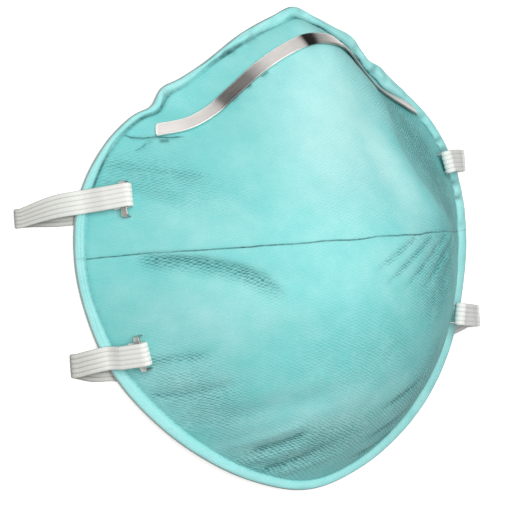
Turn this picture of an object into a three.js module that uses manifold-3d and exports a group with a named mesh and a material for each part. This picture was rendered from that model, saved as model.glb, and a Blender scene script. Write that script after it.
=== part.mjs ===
// Disposable moulded cup respirator, small size. Millimetres.
// The cup rests rim down: +Z points out of the front of the cup, +Y towards the nose,
// +X towards the wearer's left. The headbands lie on the floor under the rim.

import * as THREE from "three";
import * as BufferGeometryUtils from "three/addons/utils/BufferGeometryUtils.js";
import Module from "manifold-3d";

// ---------------------------------------------------------------- driving sizes

const wallThickness = 2.0;
const flangeThickness = 1.0;
const flangeTilt = 8;
const clearance = 0.3;

const clipWidth = 3.7;
const clipThickness = 0.6;
const clipCorner = 0.6;

const bandWidth = 6.0;
const bandThickness = 1.0;
const tailLength = 4.6;
const leaveDistance = 6.5;
const bandStandoff = 0.5;
const bandLevelling = 0.4;
const tightReach = 0.8;
const looseReach = 1.3;
const looseLift = 3.2;
const looseRise = 0.7;

const rightStapleCrown = 9.4;
const leftStapleCrown = 7.8;
const stapleWireWidth = 1.8;
const stapleWireThickness = 0.5;
const stapleClinch = 3.0;
const stapleInset = 0.65;

const stepsAround = 96;
const outerRings = 22;
const innerRings = 13;

// Rim of the cup by angle in degrees from the nose (0) to the chin (180): radius from the
// middle of the cup, and height of the flange's upper face.
const rimTable = [
  { angle: 0, radius: 61.0, height: 18.0 },
  { angle: 6, radius: 59.0, height: 17.4 },
  { angle: 15, radius: 56.8, height: 15.8 },
  { angle: 30, radius: 53.9, height: 12.2 },
  { angle: 45, radius: 54.8, height: 8.7 },
  { angle: 60, radius: 58.0, height: 5.4 },
  { angle: 75, radius: 60.0, height: 3.3 },
  { angle: 90, radius: 60.0, height: 2.4 },
  { angle: 105, radius: 59.5, height: 2.4 },
  { angle: 120, radius: 59.8, height: 3.4 },
  { angle: 135, radius: 60.0, height: 5.6 },
  { angle: 150, radius: 60.8, height: 7.2 },
  { angle: 165, radius: 62.4, height: 8.2 },
  { angle: 180, radius: 64.0, height: 8.6 },
];

// Flange width by angle from the nose, wearer's left positive.
const flangeTable = [
  { angle: -180, width: 2.3 },
  { angle: -135, width: 3.1 },
  { angle: -112, width: 3.2 },
  { angle: -98, width: 2.6 },
  { angle: -84, width: 2.8 },
  { angle: -71, width: 2.5 },
  { angle: -60, width: 1.8 },
  { angle: -50, width: 1.8 },
  { angle: -40, width: 2.3 },
  { angle: -26, width: 1.3 },
  { angle: -15, width: 2.2 },
  { angle: 0, width: 2.8 },
  { angle: 10, width: 2.3 },
  { angle: 20, width: 3.0 },
  { angle: 27, width: 2.4 },
  { angle: 36, width: 3.9 },
  { angle: 46, width: 3.0 },
  { angle: 56, width: 2.7 },
  { angle: 75, width: 3.0 },
  { angle: 90, width: 3.3 },
  { angle: 135, width: 3.1 },
  { angle: 180, width: 2.3 },
];

// Arched front between the nose end and the chin end, by distance y up the face: height of
// the arch's foot, fullness of its outline seen from the front, and bulge per metre.
const noseEnd = 57.2;
const chinEnd = -61.8;
const archTable = [
  { y: -61.8, foot: 8.9, fullness: 0.5, bulge: 14.6 },
  { y: -50, foot: 7.6, fullness: 0.675, bulge: 14.9 },
  { y: -40, foot: 6.0, fullness: 0.77, bulge: 14.6 },
  { y: -28, foot: 3.8, fullness: 0.838, bulge: 14.1 },
  { y: -14, foot: 2.9, fullness: 0.87, bulge: 13.6 },
  { y: 0, foot: 2.85, fullness: 0.909, bulge: 13.3 },
  { y: 10, foot: 3.2, fullness: 0.922, bulge: 12.85 },
  { y: 21, foot: 4.6, fullness: 0.9, bulge: 11.95 },
  { y: 30, foot: 6.6, fullness: 0.8, bulge: 11.4 },
  { y: 37, foot: 9.2, fullness: 0.66, bulge: 11.0 },
  { y: 45, foot: 12.9, fullness: 0.47, bulge: 10.7 },
  { y: 52, foot: 16.2, fullness: 0.345, bulge: 10.7 },
  { y: 57.2, foot: 18.5, fullness: 0.28, bulge: 10.8 },
];

// The rings of the cup close on a line in its middle plane.
const middleLine = { centre: -3, half: 18 };
const footBlend = 0.16;

// Ripples of the rim: angle from the nose (wearer's left positive), width, outward push,
// lift. Angles in degrees.
const rimRipples = [
  { name: "left notch of the nose", angle: 27.5, width: 3.8, out: -0.75, lift: 0.3 },
  { name: "left bump of the nose", angle: 20, width: 4.6, out: 0.9, lift: 0.2 },
  { name: "left cheek bump", angle: 33.5, width: 3.0, out: 0.45, lift: 0.0 },
  { name: "right notch of the nose", angle: -46, width: 3.0, out: -1.2, lift: 0.3 },
  { name: "right bump of the nose", angle: -40, width: 3.2, out: 0.9, lift: 0.3 },
  { name: "right slope of the nose", angle: -24, width: 9, out: -0.6, lift: 0.0 },
];

// Dents and swells of the cup's front: middle x and y, half size along and across,
// turn in degrees, height.
const frontShapes = [
  { name: "left panel", x: 36, y: 18, along: 26, across: 12.5, turn: -62, height: -3.3 },
  { name: "right cheek", x: -37, y: 15, along: 25, across: 11, turn: 62, height: -0.9 },
  { name: "nose ridge", x: 0, y: 47, along: 14, across: 10, turn: 90, height: 1.6 },
  { name: "right nose hollow", x: -25, y: 39, along: 13, across: 8, turn: 60, height: -1.6 },
  { name: "left nose hollow", x: 24.5, y: 42, along: 12, across: 4.5, turn: -38, height: -3.2 },
  { name: "fold under the seam", x: -34, y: -6, along: 20, across: 2.6, turn: -12, height: -0.6 },
  { name: "swell under the fold", x: -30, y: -14, along: 20, across: 7, turn: 0, height: 0.8 },
  { name: "chin ledge", x: -22, y: -41, along: 16, across: 3, turn: 12, height: -0.9 },
  { name: "hollow of the front", x: -16, y: 15, along: 9, across: 4, turn: 15, height: -0.5 },
];

// Ridges beside the nose, seen from the front: from the nose down to the cheek.
const leftRidgePath = [
  { x: 0, y: 54 },
  { x: 7, y: 50.5 },
  { x: 14, y: 45.5 },
  { x: 20.5, y: 39.5 },
  { x: 19.5, y: 31 },
  { x: 18.6, y: 23 },
  { x: 21, y: 14.5 },
  { x: 27, y: 6.5 },
  { x: 34, y: 1 },
  { x: 42, y: -5 },
];
const rightRidgePath = [
  { x: -8, y: 50 },
  { x: -18, y: 40 },
  { x: -19, y: 30 },
  { x: -19, y: 20 },
  { x: -26, y: 8 },
  { x: -36, y: 2 },
];

// Height of each ridge, how far it reaches to the right and left of its path, and the
// shares of its length over which its two ends fade.
const frontRidges = [
  { path: leftRidgePath, height: 2.1, right: 7.0, left: 3.2, start: 0.1, end: 0.25 },
  { path: rightRidgePath, height: 0.5, right: 5.0, left: 8.0, start: 0.25, end: 0.25 },
];

// Nose clip's middle line, seen from the front, wearer's right end to left end, and how far
// the strip stands off the cup.
const clipLine = [
  { x: -39.3, y: 30.7, raise: 0.65 },
  { x: -33, y: 31.7, raise: 0.65 },
  { x: -27, y: 34.6, raise: 0.65 },
  { x: -21.4, y: 39.0, raise: 0.65 },
  { x: -14, y: 44.8, raise: 0.65 },
  { x: -6, y: 49.4, raise: 0.65 },
  { x: 0, y: 51.4, raise: 0.65 },
  { x: 6, y: 51.0, raise: 0.65 },
  { x: 13, y: 48.8, raise: 0.8 },
  { x: 20, y: 44.2, raise: 1.3 },
  { x: 26, y: 39.8, raise: 1.7 },
  { x: 32.7, y: 35.9, raise: 1.7 },
  { x: 39.1, y: 33.3, raise: 1.7 },
];

// Headbands: where each inner fold and outer fold sits, where the hidden run passes, how far
// it drops under each outer fold, and how far the wearer's right end bows towards the nose.
const upperBand = {
  rightFold: [-48.3, 14.9],
  rightLoop: [-74.3, 11.3],
  leftFold: [47.2, 18.6],
  leftLoop: [57.7, 19.4],
  returnMiddle: [-8, 15.6],
  returnDrop: [0.4, 0],
  stapleShift: -0.7,
  bow: 1.1,
};
const lowerBand = {
  rightFold: [-46, -24.2],
  rightLoop: [-61.7, -26.5],
  leftFold: [46.5, -21.6],
  leftLoop: [58.8, -23.2],
  returnMiddle: [-2, -50],
  returnDrop: [-2.4, -2.8],
  stapleShift: 0,
  bow: 0.2,
};

// ---------------------------------------------------------------- plain mathematics

const rad = Math.PI / 180;

// Smooth interpolation of one named column of a table over its key column.
function fromTable(table, key, at, column) {
  const last = table.length - 1;
  const a = Math.min(Math.max(at, table[0][key]), table[last][key]);
  let k = 0;
  while (k < last - 1 && a > table[k + 1][key]) k += 1;
  const slopeAt = (i) => {
    if (i === 0 || i === last) return 0;
    const rise = table[i + 1][column] - table[i - 1][column];
    return rise / (table[i + 1][key] - table[i - 1][key]);
  };
  const span = table[k + 1][key] - table[k][key];
  const t = (a - table[k][key]) / span;
  const p0 = table[k][column];
  const p1 = table[k + 1][column];
  const m0 = slopeAt(k) * span;
  const m1 = slopeAt(k + 1) * span;
  const t2 = t * t;
  const t3 = t2 * t;
  return p0 * (2 * t3 - 3 * t2 + 1) + m0 * (t3 - 2 * t2 + t)
    + p1 * (3 * t2 - 2 * t3) + m1 * (t3 - t2);
}

// Angle from the nose in degrees, -180 to 180, wearer's left positive.
function angleFromNose(x, y) {
  return Math.atan2(x, y) / rad;
}

function bell(distance, width) {
  return Math.exp(-(distance * distance) / (width * width));
}

// ---------------------------------------------------------------- cup surface

// Outer edge of the flange's upper face.
function rimPoint(angle) {
  const side = Math.abs(angle);
  let radius = fromTable(rimTable, "angle", side, "radius");
  let height = fromTable(rimTable, "angle", side, "height");
  for (const ripple of rimRipples) {
    const amount = bell(angle - ripple.angle, ripple.width);
    radius += ripple.out * amount;
    height += ripple.lift * amount;
  }
  const x = radius * Math.sin(angle * rad);
  const y = radius * Math.cos(angle * rad);
  return new THREE.Vector3(x, y, height);
}

// Inner edge of the flange, where the side wall starts.
function wallFoot(angle) {
  const width = fromTable(flangeTable, "angle", angle, "width");
  const rim = rimPoint(angle);
  const radius = Math.hypot(rim.x, rim.y);
  const scale = 1 - width * Math.cos(flangeTilt * rad) / radius;
  const rise = width * Math.sin(flangeTilt * rad);
  return new THREE.Vector3(rim.x * scale, rim.y * scale, rim.z + rise);
}

// Where a place lies beside a path: its distance, positive on the path's left, and the
// share of the path gone by.
function besidePath(path, x, y) {
  let total = 0;
  let nearest = { away: Infinity, gone: 0 };
  for (let k = 0; k < path.length - 1; k += 1) {
    const dx = path[k + 1].x - path[k].x;
    const dy = path[k + 1].y - path[k].y;
    const step = Math.hypot(dx, dy);
    const ox = x - path[k].x;
    const oy = y - path[k].y;
    const along = THREE.MathUtils.clamp((ox * dx + oy * dy) / step, 0, step);
    const away = Math.hypot(ox - (along * dx) / step, oy - (along * dy) / step);
    const side = dx * oy - dy * ox >= 0 ? 1 : -1;
    if (away < Math.abs(nearest.away)) nearest = { away: side * away, gone: total + along };
    total += step;
  }
  return { away: nearest.away, share: nearest.gone / total };
}

// Height that one ridge adds above a place.
function ridgeHeight(ridge, x, y) {
  const { away, share } = besidePath(ridge.path, x, y);
  const rising = THREE.MathUtils.smoothstep(share, 0, ridge.start);
  const falling = THREE.MathUtils.smoothstep(1 - share, 0, ridge.end);
  return ridge.height * rising * falling * bell(away, away > 0 ? ridge.left : ridge.right);
}

function frontRelief(x, y) {
  let height = 0;
  for (const ridge of frontRidges) height += ridgeHeight(ridge, x, y);
  for (const shape of frontShapes) {
    const c = Math.cos(shape.turn * rad);
    const s = Math.sin(shape.turn * rad);
    const along = ((x - shape.x) * c + (y - shape.y) * s) / shape.along;
    const across = ((y - shape.y) * c - (x - shape.x) * s) / shape.across;
    height += shape.height * Math.exp(-along * along - across * across);
  }
  return height;
}

// Height of the cup's outer face above one place of the floor.
function cupHeight(x, y) {
  const foot = fromTable(archTable, "y", y, "foot");
  const fullness = fromTable(archTable, "y", y, "fullness");
  const bulge = fromTable(archTable, "y", y, "bulge") / 1000;
  const arch = (noseEnd - y) * (y - chinEnd) - (x * x) / fullness;
  return foot + bulge * arch + frontRelief(x, y);
}

// Outward normal of the cup's face above one place of the floor.
function cupNormal(x, y) {
  const step = 0.3;
  const dx = (cupHeight(x + step, y) - cupHeight(x - step, y)) / (2 * step);
  const dy = (cupHeight(x, y + step) - cupHeight(x, y - step)) / (2 * step);
  return new THREE.Vector3(-dx, -dy, 1).normalize();
}

// Point of the cup's outer face: t runs from the wall's foot (0) to the middle line (1).
function cupPoint(angle, t) {
  const foot = wallFoot(angle);
  const middleY = middleLine.centre + middleLine.half * Math.cos(angle * rad);
  const x = foot.x * (1 - t);
  const y = foot.y + (middleY - foot.y) * t;
  const settle = Math.max(0, 1 - t / footBlend) ** 2;
  const z = cupHeight(x, y) + (foot.z - cupHeight(foot.x, foot.y)) * settle;
  return new THREE.Vector3(x, y, z);
}

// Place on the cup's outer face above (x, y), with its outward normal.
function cupPlace(x, y) {
  return { point: new THREE.Vector3(x, y, cupHeight(x, y)), normal: cupNormal(x, y) };
}

// ---------------------------------------------------------------- solid builders

function closedGeometry(points, faces) {
  const geometry = new THREE.BufferGeometry();
  const values = new Float32Array(points.length * 3);
  points.forEach((p, i) => p.toArray(values, i * 3));
  geometry.setAttribute("position", new THREE.BufferAttribute(values, 3));
  geometry.setIndex(faces);
  geometry.computeVertexNormals();
  return geometry;
}

function joinRings(faces, first, second, count, flip) {
  for (let i = 0; i < count; i += 1) {
    const j = (i + 1) % count;
    const quad = [first + i, first + j, second + j, second + i];
    if (flip) quad.reverse();
    faces.push(quad[0], quad[1], quad[2], quad[0], quad[2], quad[3]);
  }
}

function makeCup() {
  const points = [];
  const faces = [];
  const angles = [];
  for (let i = 0; i < stepsAround; i += 1) angles.push(180 - (360 * i) / stepsAround);

  const addRing = (ring) => {
    const start = points.length;
    points.push(...ring);
    return start;
  };
  const upward = (k, count) => Math.pow(k / count, 1.1);

  const outer = [addRing(angles.map((a) => rimPoint(a)))];
  for (let k = 0; k <= outerRings; k += 1) {
    outer.push(addRing(angles.map((a) => cupPoint(a, upward(k, outerRings)))));
  }
  const inner = [addRing(angles.map((a) => {
    const rim = rimPoint(a);
    return rim.setZ(rim.z - flangeThickness);
  }))];
  for (let k = 0; k <= innerRings; k += 1) {
    const t = upward(k, innerRings);
    inner.push(addRing(angles.map((a) => {
      const p = cupPoint(a, t);
      p.addScaledVector(cupNormal(p.x, p.y), -wallThickness);
      if (k === 0) p.z = wallFoot(a).z - flangeThickness;
      return p;
    })));
  }
  for (let k = 0; k < outer.length - 1; k += 1) {
    joinRings(faces, outer[k], outer[k + 1], stepsAround, false);
  }
  for (let k = 0; k < inner.length - 1; k += 1) {
    joinRings(faces, inner[k], inner[k + 1], stepsAround, true);
  }
  joinRings(faces, inner[0], outer[0], stepsAround, false);
  return closedGeometry(points, faces);
}

// Strip of a rectangular section swept along stations: each has a point, the direction of
// its width and the direction of its thickness.
function makeStrip(stations, width, thickness) {
  const points = [];
  const faces = [];
  for (const s of stations) {
    const half = (s.width ?? width) / 2;
    for (const [a, b] of [[-1, -1], [1, -1], [1, 1], [-1, 1]]) {
      const p = s.point.clone().addScaledVector(s.across, a * half);
      points.push(p.addScaledVector(s.up, b * thickness / 2));
    }
  }
  for (let k = 0; k < stations.length - 1; k += 1) joinRings(faces, k * 4, k * 4 + 4, 4, false);
  const end = points.length - 4;
  faces.push(0, 2, 1, 0, 3, 2);
  faces.push(end, end + 1, end + 2, end, end + 2, end + 3);
  const geometry = closedGeometry(points, faces);
  return signedVolume(geometry) < 0 ? turnedInsideOut(geometry) : geometry;
}

function signedVolume(geometry) {
  const p = geometry.getAttribute("position");
  const index = geometry.getIndex();
  let volume = 0;
  const corner = [new THREE.Vector3(), new THREE.Vector3(), new THREE.Vector3()];
  for (let i = 0; i < index.count; i += 3) {
    corner.forEach((c, k) => c.fromBufferAttribute(p, index.getX(i + k)));
    volume += corner[0].dot(corner[1].clone().cross(corner[2])) / 6;
  }
  return volume;
}

function turnedInsideOut(geometry) {
  const index = Array.from(geometry.getIndex().array).reverse();
  geometry.setIndex(index);
  geometry.computeVertexNormals();
  return geometry;
}

// Stations of a flat strip along a line. Each place of the line has a point and a wished
// width direction, which is evened out and squared to the line.
function stationsAlong(line) {
  const last = line.length - 1;
  return line.map(({ point }, i) => {
    const forward = line[Math.min(i + 1, last)].point.clone();
    forward.sub(line[Math.max(i - 1, 0)].point).normalize();
    const across = new THREE.Vector3();
    for (let k = -2; k <= 2; k += 1) across.add(line[Math.min(Math.max(i + k, 0), last)].across);
    across.addScaledVector(forward, -across.dot(forward)).normalize();
    const up = forward.clone().cross(across).normalize();
    return { point, across, up };
  });
}

// ---------------------------------------------------------------- nose clip

function makeClip() {
  const flat = new THREE.CatmullRomCurve3(
    clipLine.map(({ x, y }) => new THREE.Vector3(x, y, 0)),
  );
  const line = flat.getSpacedPoints(56);
  const places = line.map((p) => cupPlace(p.x, p.y));
  const lift = clearance + clipThickness / 2;
  const centre = places.map((s) => s.point.clone().addScaledVector(s.normal, lift));
  const total = centre.length - 1;
  const stations = centre.map((point, i) => {
    const forward = centre[Math.min(i + 1, total)].clone().sub(centre[Math.max(i - 1, 0)]);
    forward.normalize();
    const up = places[i].normal.clone();
    up.addScaledVector(forward, -up.dot(forward)).normalize();
    const across = up.clone().cross(forward).normalize();
    const end = Math.min(i, total - i);
    const width = end === 0 ? clipWidth - 2 * clipCorner : clipWidth;
    const raise = fromTable(clipLine, "x", line[i].x, "raise");
    return { point: point.clone().addScaledVector(up, raise), across, up, width };
  });
  return makeStrip(stations, clipWidth, clipThickness);
}

// ---------------------------------------------------------------- headbands

// Half circle of points from one layer of the band to the next.
function foldArc(from, to, outward, count) {
  const middle = from.clone().add(to).multiplyScalar(0.5);
  const radius = from.clone().sub(middle);
  const size = radius.length();
  const points = [];
  for (let i = 1; i < count; i += 1) {
    const turn = (Math.PI * i) / count;
    const p = middle.clone().addScaledVector(radius, Math.cos(turn));
    points.push(p.addScaledVector(outward, size * Math.sin(turn)));
  }
  return points;
}

const tailLift = clearance + bandStandoff + bandThickness / 2;
const crownLift = tailLift + bandThickness / 2 + clearance + stapleWireThickness / 2;
const upperLift = crownLift + stapleWireThickness / 2 + clearance + bandThickness / 2;
const edgeLift = 1.25;

// Frame of a band on the cup's wall: the band lies between the wall's own slant and level.
function wallFrame(x, y, forward) {
  const { point, normal } = cupPlace(x, y);
  const across = normal.clone().cross(forward).normalize();
  if (across.y < 0) across.negate();
  across.lerp(new THREE.Vector3(0, 1, 0), bandLevelling);
  across.addScaledVector(forward, -across.dot(forward)).normalize();
  const up = forward.clone().cross(across).normalize();
  if (up.dot(normal) < 0) up.negate();
  return { point, across, up, forward };
}

// Frame at a distance x beyond a band's inner fold, on the line to its outer fold.
function bandFrame(fold, loop, x) {
  const level = (at) => fold[1] + (loop[1] - fold[1]) * ((at - fold[0]) / (loop[0] - fold[0]));
  const d = 0.5 * Math.sign(fold[0]);
  const before = cupPlace(x - d, level(x - d)).point;
  const forward = cupPlace(x + d, level(x + d)).point.sub(before).normalize();
  return wallFrame(x, level(x), forward);
}

// One end of a headband: the tail lies on the cup's wall, the band turns back over the
// staple, crosses the flange and folds back at the floor. The wearer's right end is pressed flat over
// the flange, the left end stands clear of it. Its places run from the tail out.
function bandEnd({ fold, loop, bow }) {
  const side = Math.sign(fold[0]);
  const level = (x) => fold[1] + (loop[1] - fold[1]) * ((x - fold[0]) / (loop[0] - fold[0]));
  const angle = angleFromNose(fold[0] + side * 9, level(fold[0] + side * 9));
  const foot = wallFoot(angle);
  const rim = rimPoint(angle);
  const steps = 12;
  const wall = [];
  for (let i = 0; i <= steps; i += 1) {
    const x = fold[0] + (foot.x - side * 1.4 - fold[0]) * (i / steps);
    const place = bandFrame(fold, loop, x);
    const before = wall[i - 1];
    place.distance = before ? before.distance + place.point.distanceTo(before.point) : 0;
    wall.push(place);
  }
  const raised = (place, lift) => ({
    point: place.point.clone().addScaledVector(place.up, lift),
    across: place.across,
  });
  const tail = wall.filter((p) => p.distance <= tailLength).reverse();
  const laidTail = tail.map((p) => raised(p, tailLift));
  const top = wall.filter((p) => p.distance < leaveDistance).map((p) => raised(p, upperLift));
  const inward = wall[0].forward.clone().negate();
  const turn = foldArc(laidTail[laidTail.length - 1].point, top[0].point, inward, 8)
    .map((point) => ({ point, across: top[0].across }));

  const upright = new THREE.Vector3(0, 1, 0);
  const flat = (point) => ({ point, across: upright });
  const floorLow = new THREE.Vector3(loop[0], loop[1], bandThickness / 2);
  const floorTop = floorLow.clone();
  const laid = [...top];
  if (side < 0) {
    floorTop.z += 2 * tightReach;
    const edge = new THREE.Vector3(rim.x - side * 0.4, level(rim.x), rim.z + edgeLift);
    const middle = edge.clone().lerp(floorTop, 0.45).add(new THREE.Vector3(0, bow, 0.3));
    edge.y += bow * 0.8;
    laid.push(flat(edge), flat(middle));
  } else {
    floorTop.add(new THREE.Vector3(side * looseReach, 0, looseLift));
    const middle = top[top.length - 1].point.clone().lerp(floorTop, 0.4);
    laid.push(flat(middle.setZ(middle.z + looseRise)));
  }
  laid.push(flat(floorTop));
  const curve = new THREE.CatmullRomCurve3(laid.map((p) => p.point), false, "centripetal");
  const last = laid.length - 1;
  const run = curve.getPoints(last * 3).map((point, i) => {
    const k = Math.floor(i / 3);
    const across = laid[k].across.clone().lerp(laid[Math.min(k + 1, last)].across, (i % 3) / 3);
    return { point, across };
  });
  const bend = foldArc(floorTop, floorLow, new THREE.Vector3(side, 0, 0), 8).map(flat);
  return [...laidTail, ...turn, ...run.slice(1), ...bend];
}

function makeBand(band) {
  const { rightFold, rightLoop, leftFold, leftLoop, bow } = band;
  const [rightDrop, leftDrop] = band.returnDrop;
  const start = bandEnd({ fold: rightFold, loop: rightLoop, bow });
  const finish = bandEnd({ fold: leftFold, loop: leftLoop, bow }).reverse();
  const [mx, my] = band.returnMiddle;
  const [rx, ry] = rightLoop;
  const [lx, ly] = leftLoop;
  const floor = bandThickness / 2;
  const hidden = new THREE.CatmullRomCurve3([
    new THREE.Vector3(rx, ry, floor),
    new THREE.Vector3(rx + 5, ry + rightDrop * 0.6, floor),
    new THREE.Vector3(rx + 14, ry + rightDrop, floor),
    new THREE.Vector3(mx, my, floor),
    new THREE.Vector3(lx - 12, ly + leftDrop, floor),
    new THREE.Vector3(lx - 5, ly + leftDrop * 0.6, floor),
    new THREE.Vector3(lx, ly, floor),
  ]).getPoints(28);
  const level = new THREE.Vector3(0, 1, 0);
  const line = [...start, ...hidden.map((point) => ({ point, across: level })), ...finish];
  return makeStrip(stationsAlong(line), bandWidth, bandThickness);
}

// ---------------------------------------------------------------- staples

// Frame of a staple: under the band's fold, its crown across the band.
function stapleFrame({ fold, loop, shift }) {
  const x = fold[0] + Math.sign(fold[0]) * stapleInset;
  const frame = bandFrame(fold, loop, x);
  frame.point.addScaledVector(frame.across, shift);
  return frame;
}

// Distance of a staple's legs from the middle of its crown.
function legReach({ fold }) {
  const crown = fold[0] < 0 ? rightStapleCrown : leftStapleCrown;
  return (crown - stapleWireThickness) / 2;
}

function makeStaple(seat) {
  const { point, up, across, forward } = stapleFrame(seat);
  const at = (a, h) => point.clone().addScaledVector(across, a).addScaledVector(up, h);
  const half = legReach(seat);
  const hook = Math.max(half - stapleClinch, 0.4);
  const inside = -wallThickness - 2.0;
  const line = [
    at(-hook, inside - 0.5),
    at(-half + 0.6, inside),
    at(-half, inside + 0.5),
    at(-half, crownLift - 0.5),
    at(-half + 0.5, crownLift),
    at(half - 0.5, crownLift),
    at(half, crownLift - 0.5),
    at(half, inside + 0.5),
    at(half - 0.6, inside),
    at(hook, inside - 0.5),
  ];
  const wide = forward.clone();
  const stations = line.map((place, i) => {
    const ahead = line[Math.min(i + 1, line.length - 1)].clone();
    ahead.sub(line[Math.max(i - 1, 0)]).normalize();
    return { point: place, across: wide, up: ahead.cross(wide).normalize() };
  });
  return makeStrip(stations, stapleWireWidth, stapleWireThickness);
}

function legSlot(seat, end) {
  const { point, up, across, forward } = stapleFrame(seat);
  const half = legReach(seat);
  const box = new THREE.BoxGeometry(
    stapleWireThickness + 2 * clearance,
    stapleWireWidth + 2 * clearance,
    9,
  );
  const side = across.clone().cross(up).dot(forward) < 0 ? 1 : -1;
  const turn = new THREE.Matrix4().makeBasis(across, forward.clone().multiplyScalar(side), up);
  turn.setPosition(point.clone().addScaledVector(across, end * half));
  return box.applyMatrix4(turn);
}

// ---------------------------------------------------------------- booleans

const wasm = await Module();
wasm.setup();

function toManifold(geometry) {
  const bare = geometry.clone();
  bare.deleteAttribute("normal");
  bare.deleteAttribute("uv");
  const merged = BufferGeometryUtils.mergeVertices(bare, 1e-5);
  return new wasm.Manifold(new wasm.Mesh({
    numProp: 3,
    vertProperties: Float32Array.from(merged.getAttribute("position").array),
    triVerts: Uint32Array.from(merged.getIndex().array),
  }));
}

function fromManifold(solid) {
  const mesh = solid.getMesh();
  const geometry = new THREE.BufferGeometry();
  const values = new THREE.BufferAttribute(Float32Array.from(mesh.vertProperties), 3);
  geometry.setAttribute("position", values);
  geometry.setIndex(new THREE.BufferAttribute(Uint32Array.from(mesh.triVerts), 1));
  geometry.computeVertexNormals();
  return geometry;
}

function makeCupWithSlots() {
  let cup = toManifold(makeCup());
  for (const seat of Object.values(stapleSeats)) {
    for (const end of [-1, 1]) cup = cup.subtract(toManifold(legSlot(seat, end)));
  }
  return fromManifold(cup);
}

// ---------------------------------------------------------------- assembly

const stapleSeats = {
  staple_upper_left: {
    fold: upperBand.leftFold, loop: upperBand.leftLoop, shift: 0,
  },
  staple_upper_right: {
    fold: upperBand.rightFold, loop: upperBand.rightLoop, shift: upperBand.stapleShift,
  },
  staple_lower_left: {
    fold: lowerBand.leftFold, loop: lowerBand.leftLoop, shift: 0,
  },
  staple_lower_right: {
    fold: lowerBand.rightFold, loop: lowerBand.rightLoop, shift: lowerBand.stapleShift,
  },
};

const group = new THREE.Group();
group.name = "respirator";

function addPiece(name, geometry, colour, roughness, metalness) {
  const material = new THREE.MeshStandardMaterial({ color: colour, roughness, metalness });
  const mesh = new THREE.Mesh(geometry, material);
  mesh.name = name;
  group.add(mesh);
}

addPiece("cup_body", makeCupWithSlots(), 0x8fdedb, 0.85, 0);
addPiece("nose_clip", makeClip(), 0xc9c8c6, 0.35, 1);
addPiece("headband_upper", makeBand(upperBand), 0xe9ece8, 0.9, 0);
addPiece("headband_lower", makeBand(lowerBand), 0xe9ece8, 0.9, 0);
for (const [name, seat] of Object.entries(stapleSeats)) {
  addPiece(name, makeStaple(seat), 0xb9b9b6, 0.35, 1);
}

// The origin is on the floor, in the middle of the whole footprint.
const footprint = new THREE.Box3().setFromObject(group);
const middle = footprint.getCenter(new THREE.Vector3());
for (const mesh of group.children) {
  mesh.geometry.translate(-middle.x, -middle.y, -footprint.min.z);
}

export default group;
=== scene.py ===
"""A disposable moulded cup respirator lying rim down on a pale table.

The cup's own frame is in millimetres: +X is the wearer's left, +Y runs from the chin to the nose and +Z
out of the front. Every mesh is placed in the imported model's frame, in metres.
"""

import logging
import math
from dataclasses import dataclass, field
from enum import Enum, IntEnum
from functools import partial
from typing import Any, Callable, Sequence

import bpy
import numpy as np
from mathutils import Matrix, Vector


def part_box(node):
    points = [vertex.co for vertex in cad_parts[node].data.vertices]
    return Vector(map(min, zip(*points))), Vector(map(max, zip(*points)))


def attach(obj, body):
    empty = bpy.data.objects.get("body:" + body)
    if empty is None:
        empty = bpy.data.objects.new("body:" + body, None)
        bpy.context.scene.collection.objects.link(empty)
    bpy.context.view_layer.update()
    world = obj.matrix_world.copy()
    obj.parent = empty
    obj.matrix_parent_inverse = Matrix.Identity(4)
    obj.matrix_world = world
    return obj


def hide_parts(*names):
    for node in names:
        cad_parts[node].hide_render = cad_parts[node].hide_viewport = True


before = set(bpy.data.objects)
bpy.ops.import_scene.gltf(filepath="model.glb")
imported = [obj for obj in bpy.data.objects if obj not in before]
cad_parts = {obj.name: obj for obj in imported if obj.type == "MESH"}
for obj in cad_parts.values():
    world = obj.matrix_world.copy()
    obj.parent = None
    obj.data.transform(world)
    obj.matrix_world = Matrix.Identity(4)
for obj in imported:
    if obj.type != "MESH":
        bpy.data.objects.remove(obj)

Array = np.ndarray
Path = tuple[tuple[float, float], ...]
NodeAdder = Callable[..., Any]
MM = 0.001  # A millimetre in metres.
UPRIGHT = np.array([0.0, 1.0, 0.0])
LOG = logging.getLogger("respirator")


class Side(Enum):
    """The wearer's side that a piece is on, as the sign of X."""

    RIGHT = -1
    LEFT = 1


class Layer(IntEnum):
    """The cup's finishes, in the order of its material slots."""

    CLOTH = 0
    EDGE = 1
    LINING = 2


# ------------------------------------------------------------------ plain mathematics


@dataclass(frozen=True)
class Table:
    """Sizes listed by a key and read between the rows along a smooth curve."""

    columns: tuple[str, ...]
    rows: tuple[tuple[float, ...], ...]

    def read(self, column: str, at: Array) -> Array:
        """Read one column.

        Args:
            column: Name of the column.
            at: Values of the key, the table's first column.

        Returns:
            The column's value at each key.
        """
        data = np.array(self.rows, dtype=float)
        keys = data[:, 0]
        values = data[:, self.columns.index(column)]
        slopes = np.zeros(len(keys))
        slopes[1:-1] = (values[2:] - values[:-2]) / (keys[2:] - keys[:-2])
        place = np.clip(np.asarray(at, dtype=float), keys[0], keys[-1])
        row = np.clip(np.searchsorted(keys, place, side="right") - 1, 0, len(keys) - 2)
        span = keys[row + 1] - keys[row]
        t = (place - keys[row]) / span
        t2, t3 = t * t, t * t * t
        start = values[row] * (2 * t3 - 3 * t2 + 1) + slopes[row] * span * (t3 - 2 * t2 + t)
        return start + values[row + 1] * (3 * t2 - 2 * t3) + slopes[row + 1] * span * (t3 - t2)


def bell(distance: Array, width: float | Array) -> Array:
    """A smooth bump of height 1 that fades over the width."""
    return np.exp(-((distance / width) ** 2))


def smooth_step(low: float, high: float, value: Array) -> Array:
    """0 below low, 1 above high and smooth between."""
    t = np.clip((value - low) / (high - low), 0.0, 1.0)
    return t * t * (3 - 2 * t)


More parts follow.
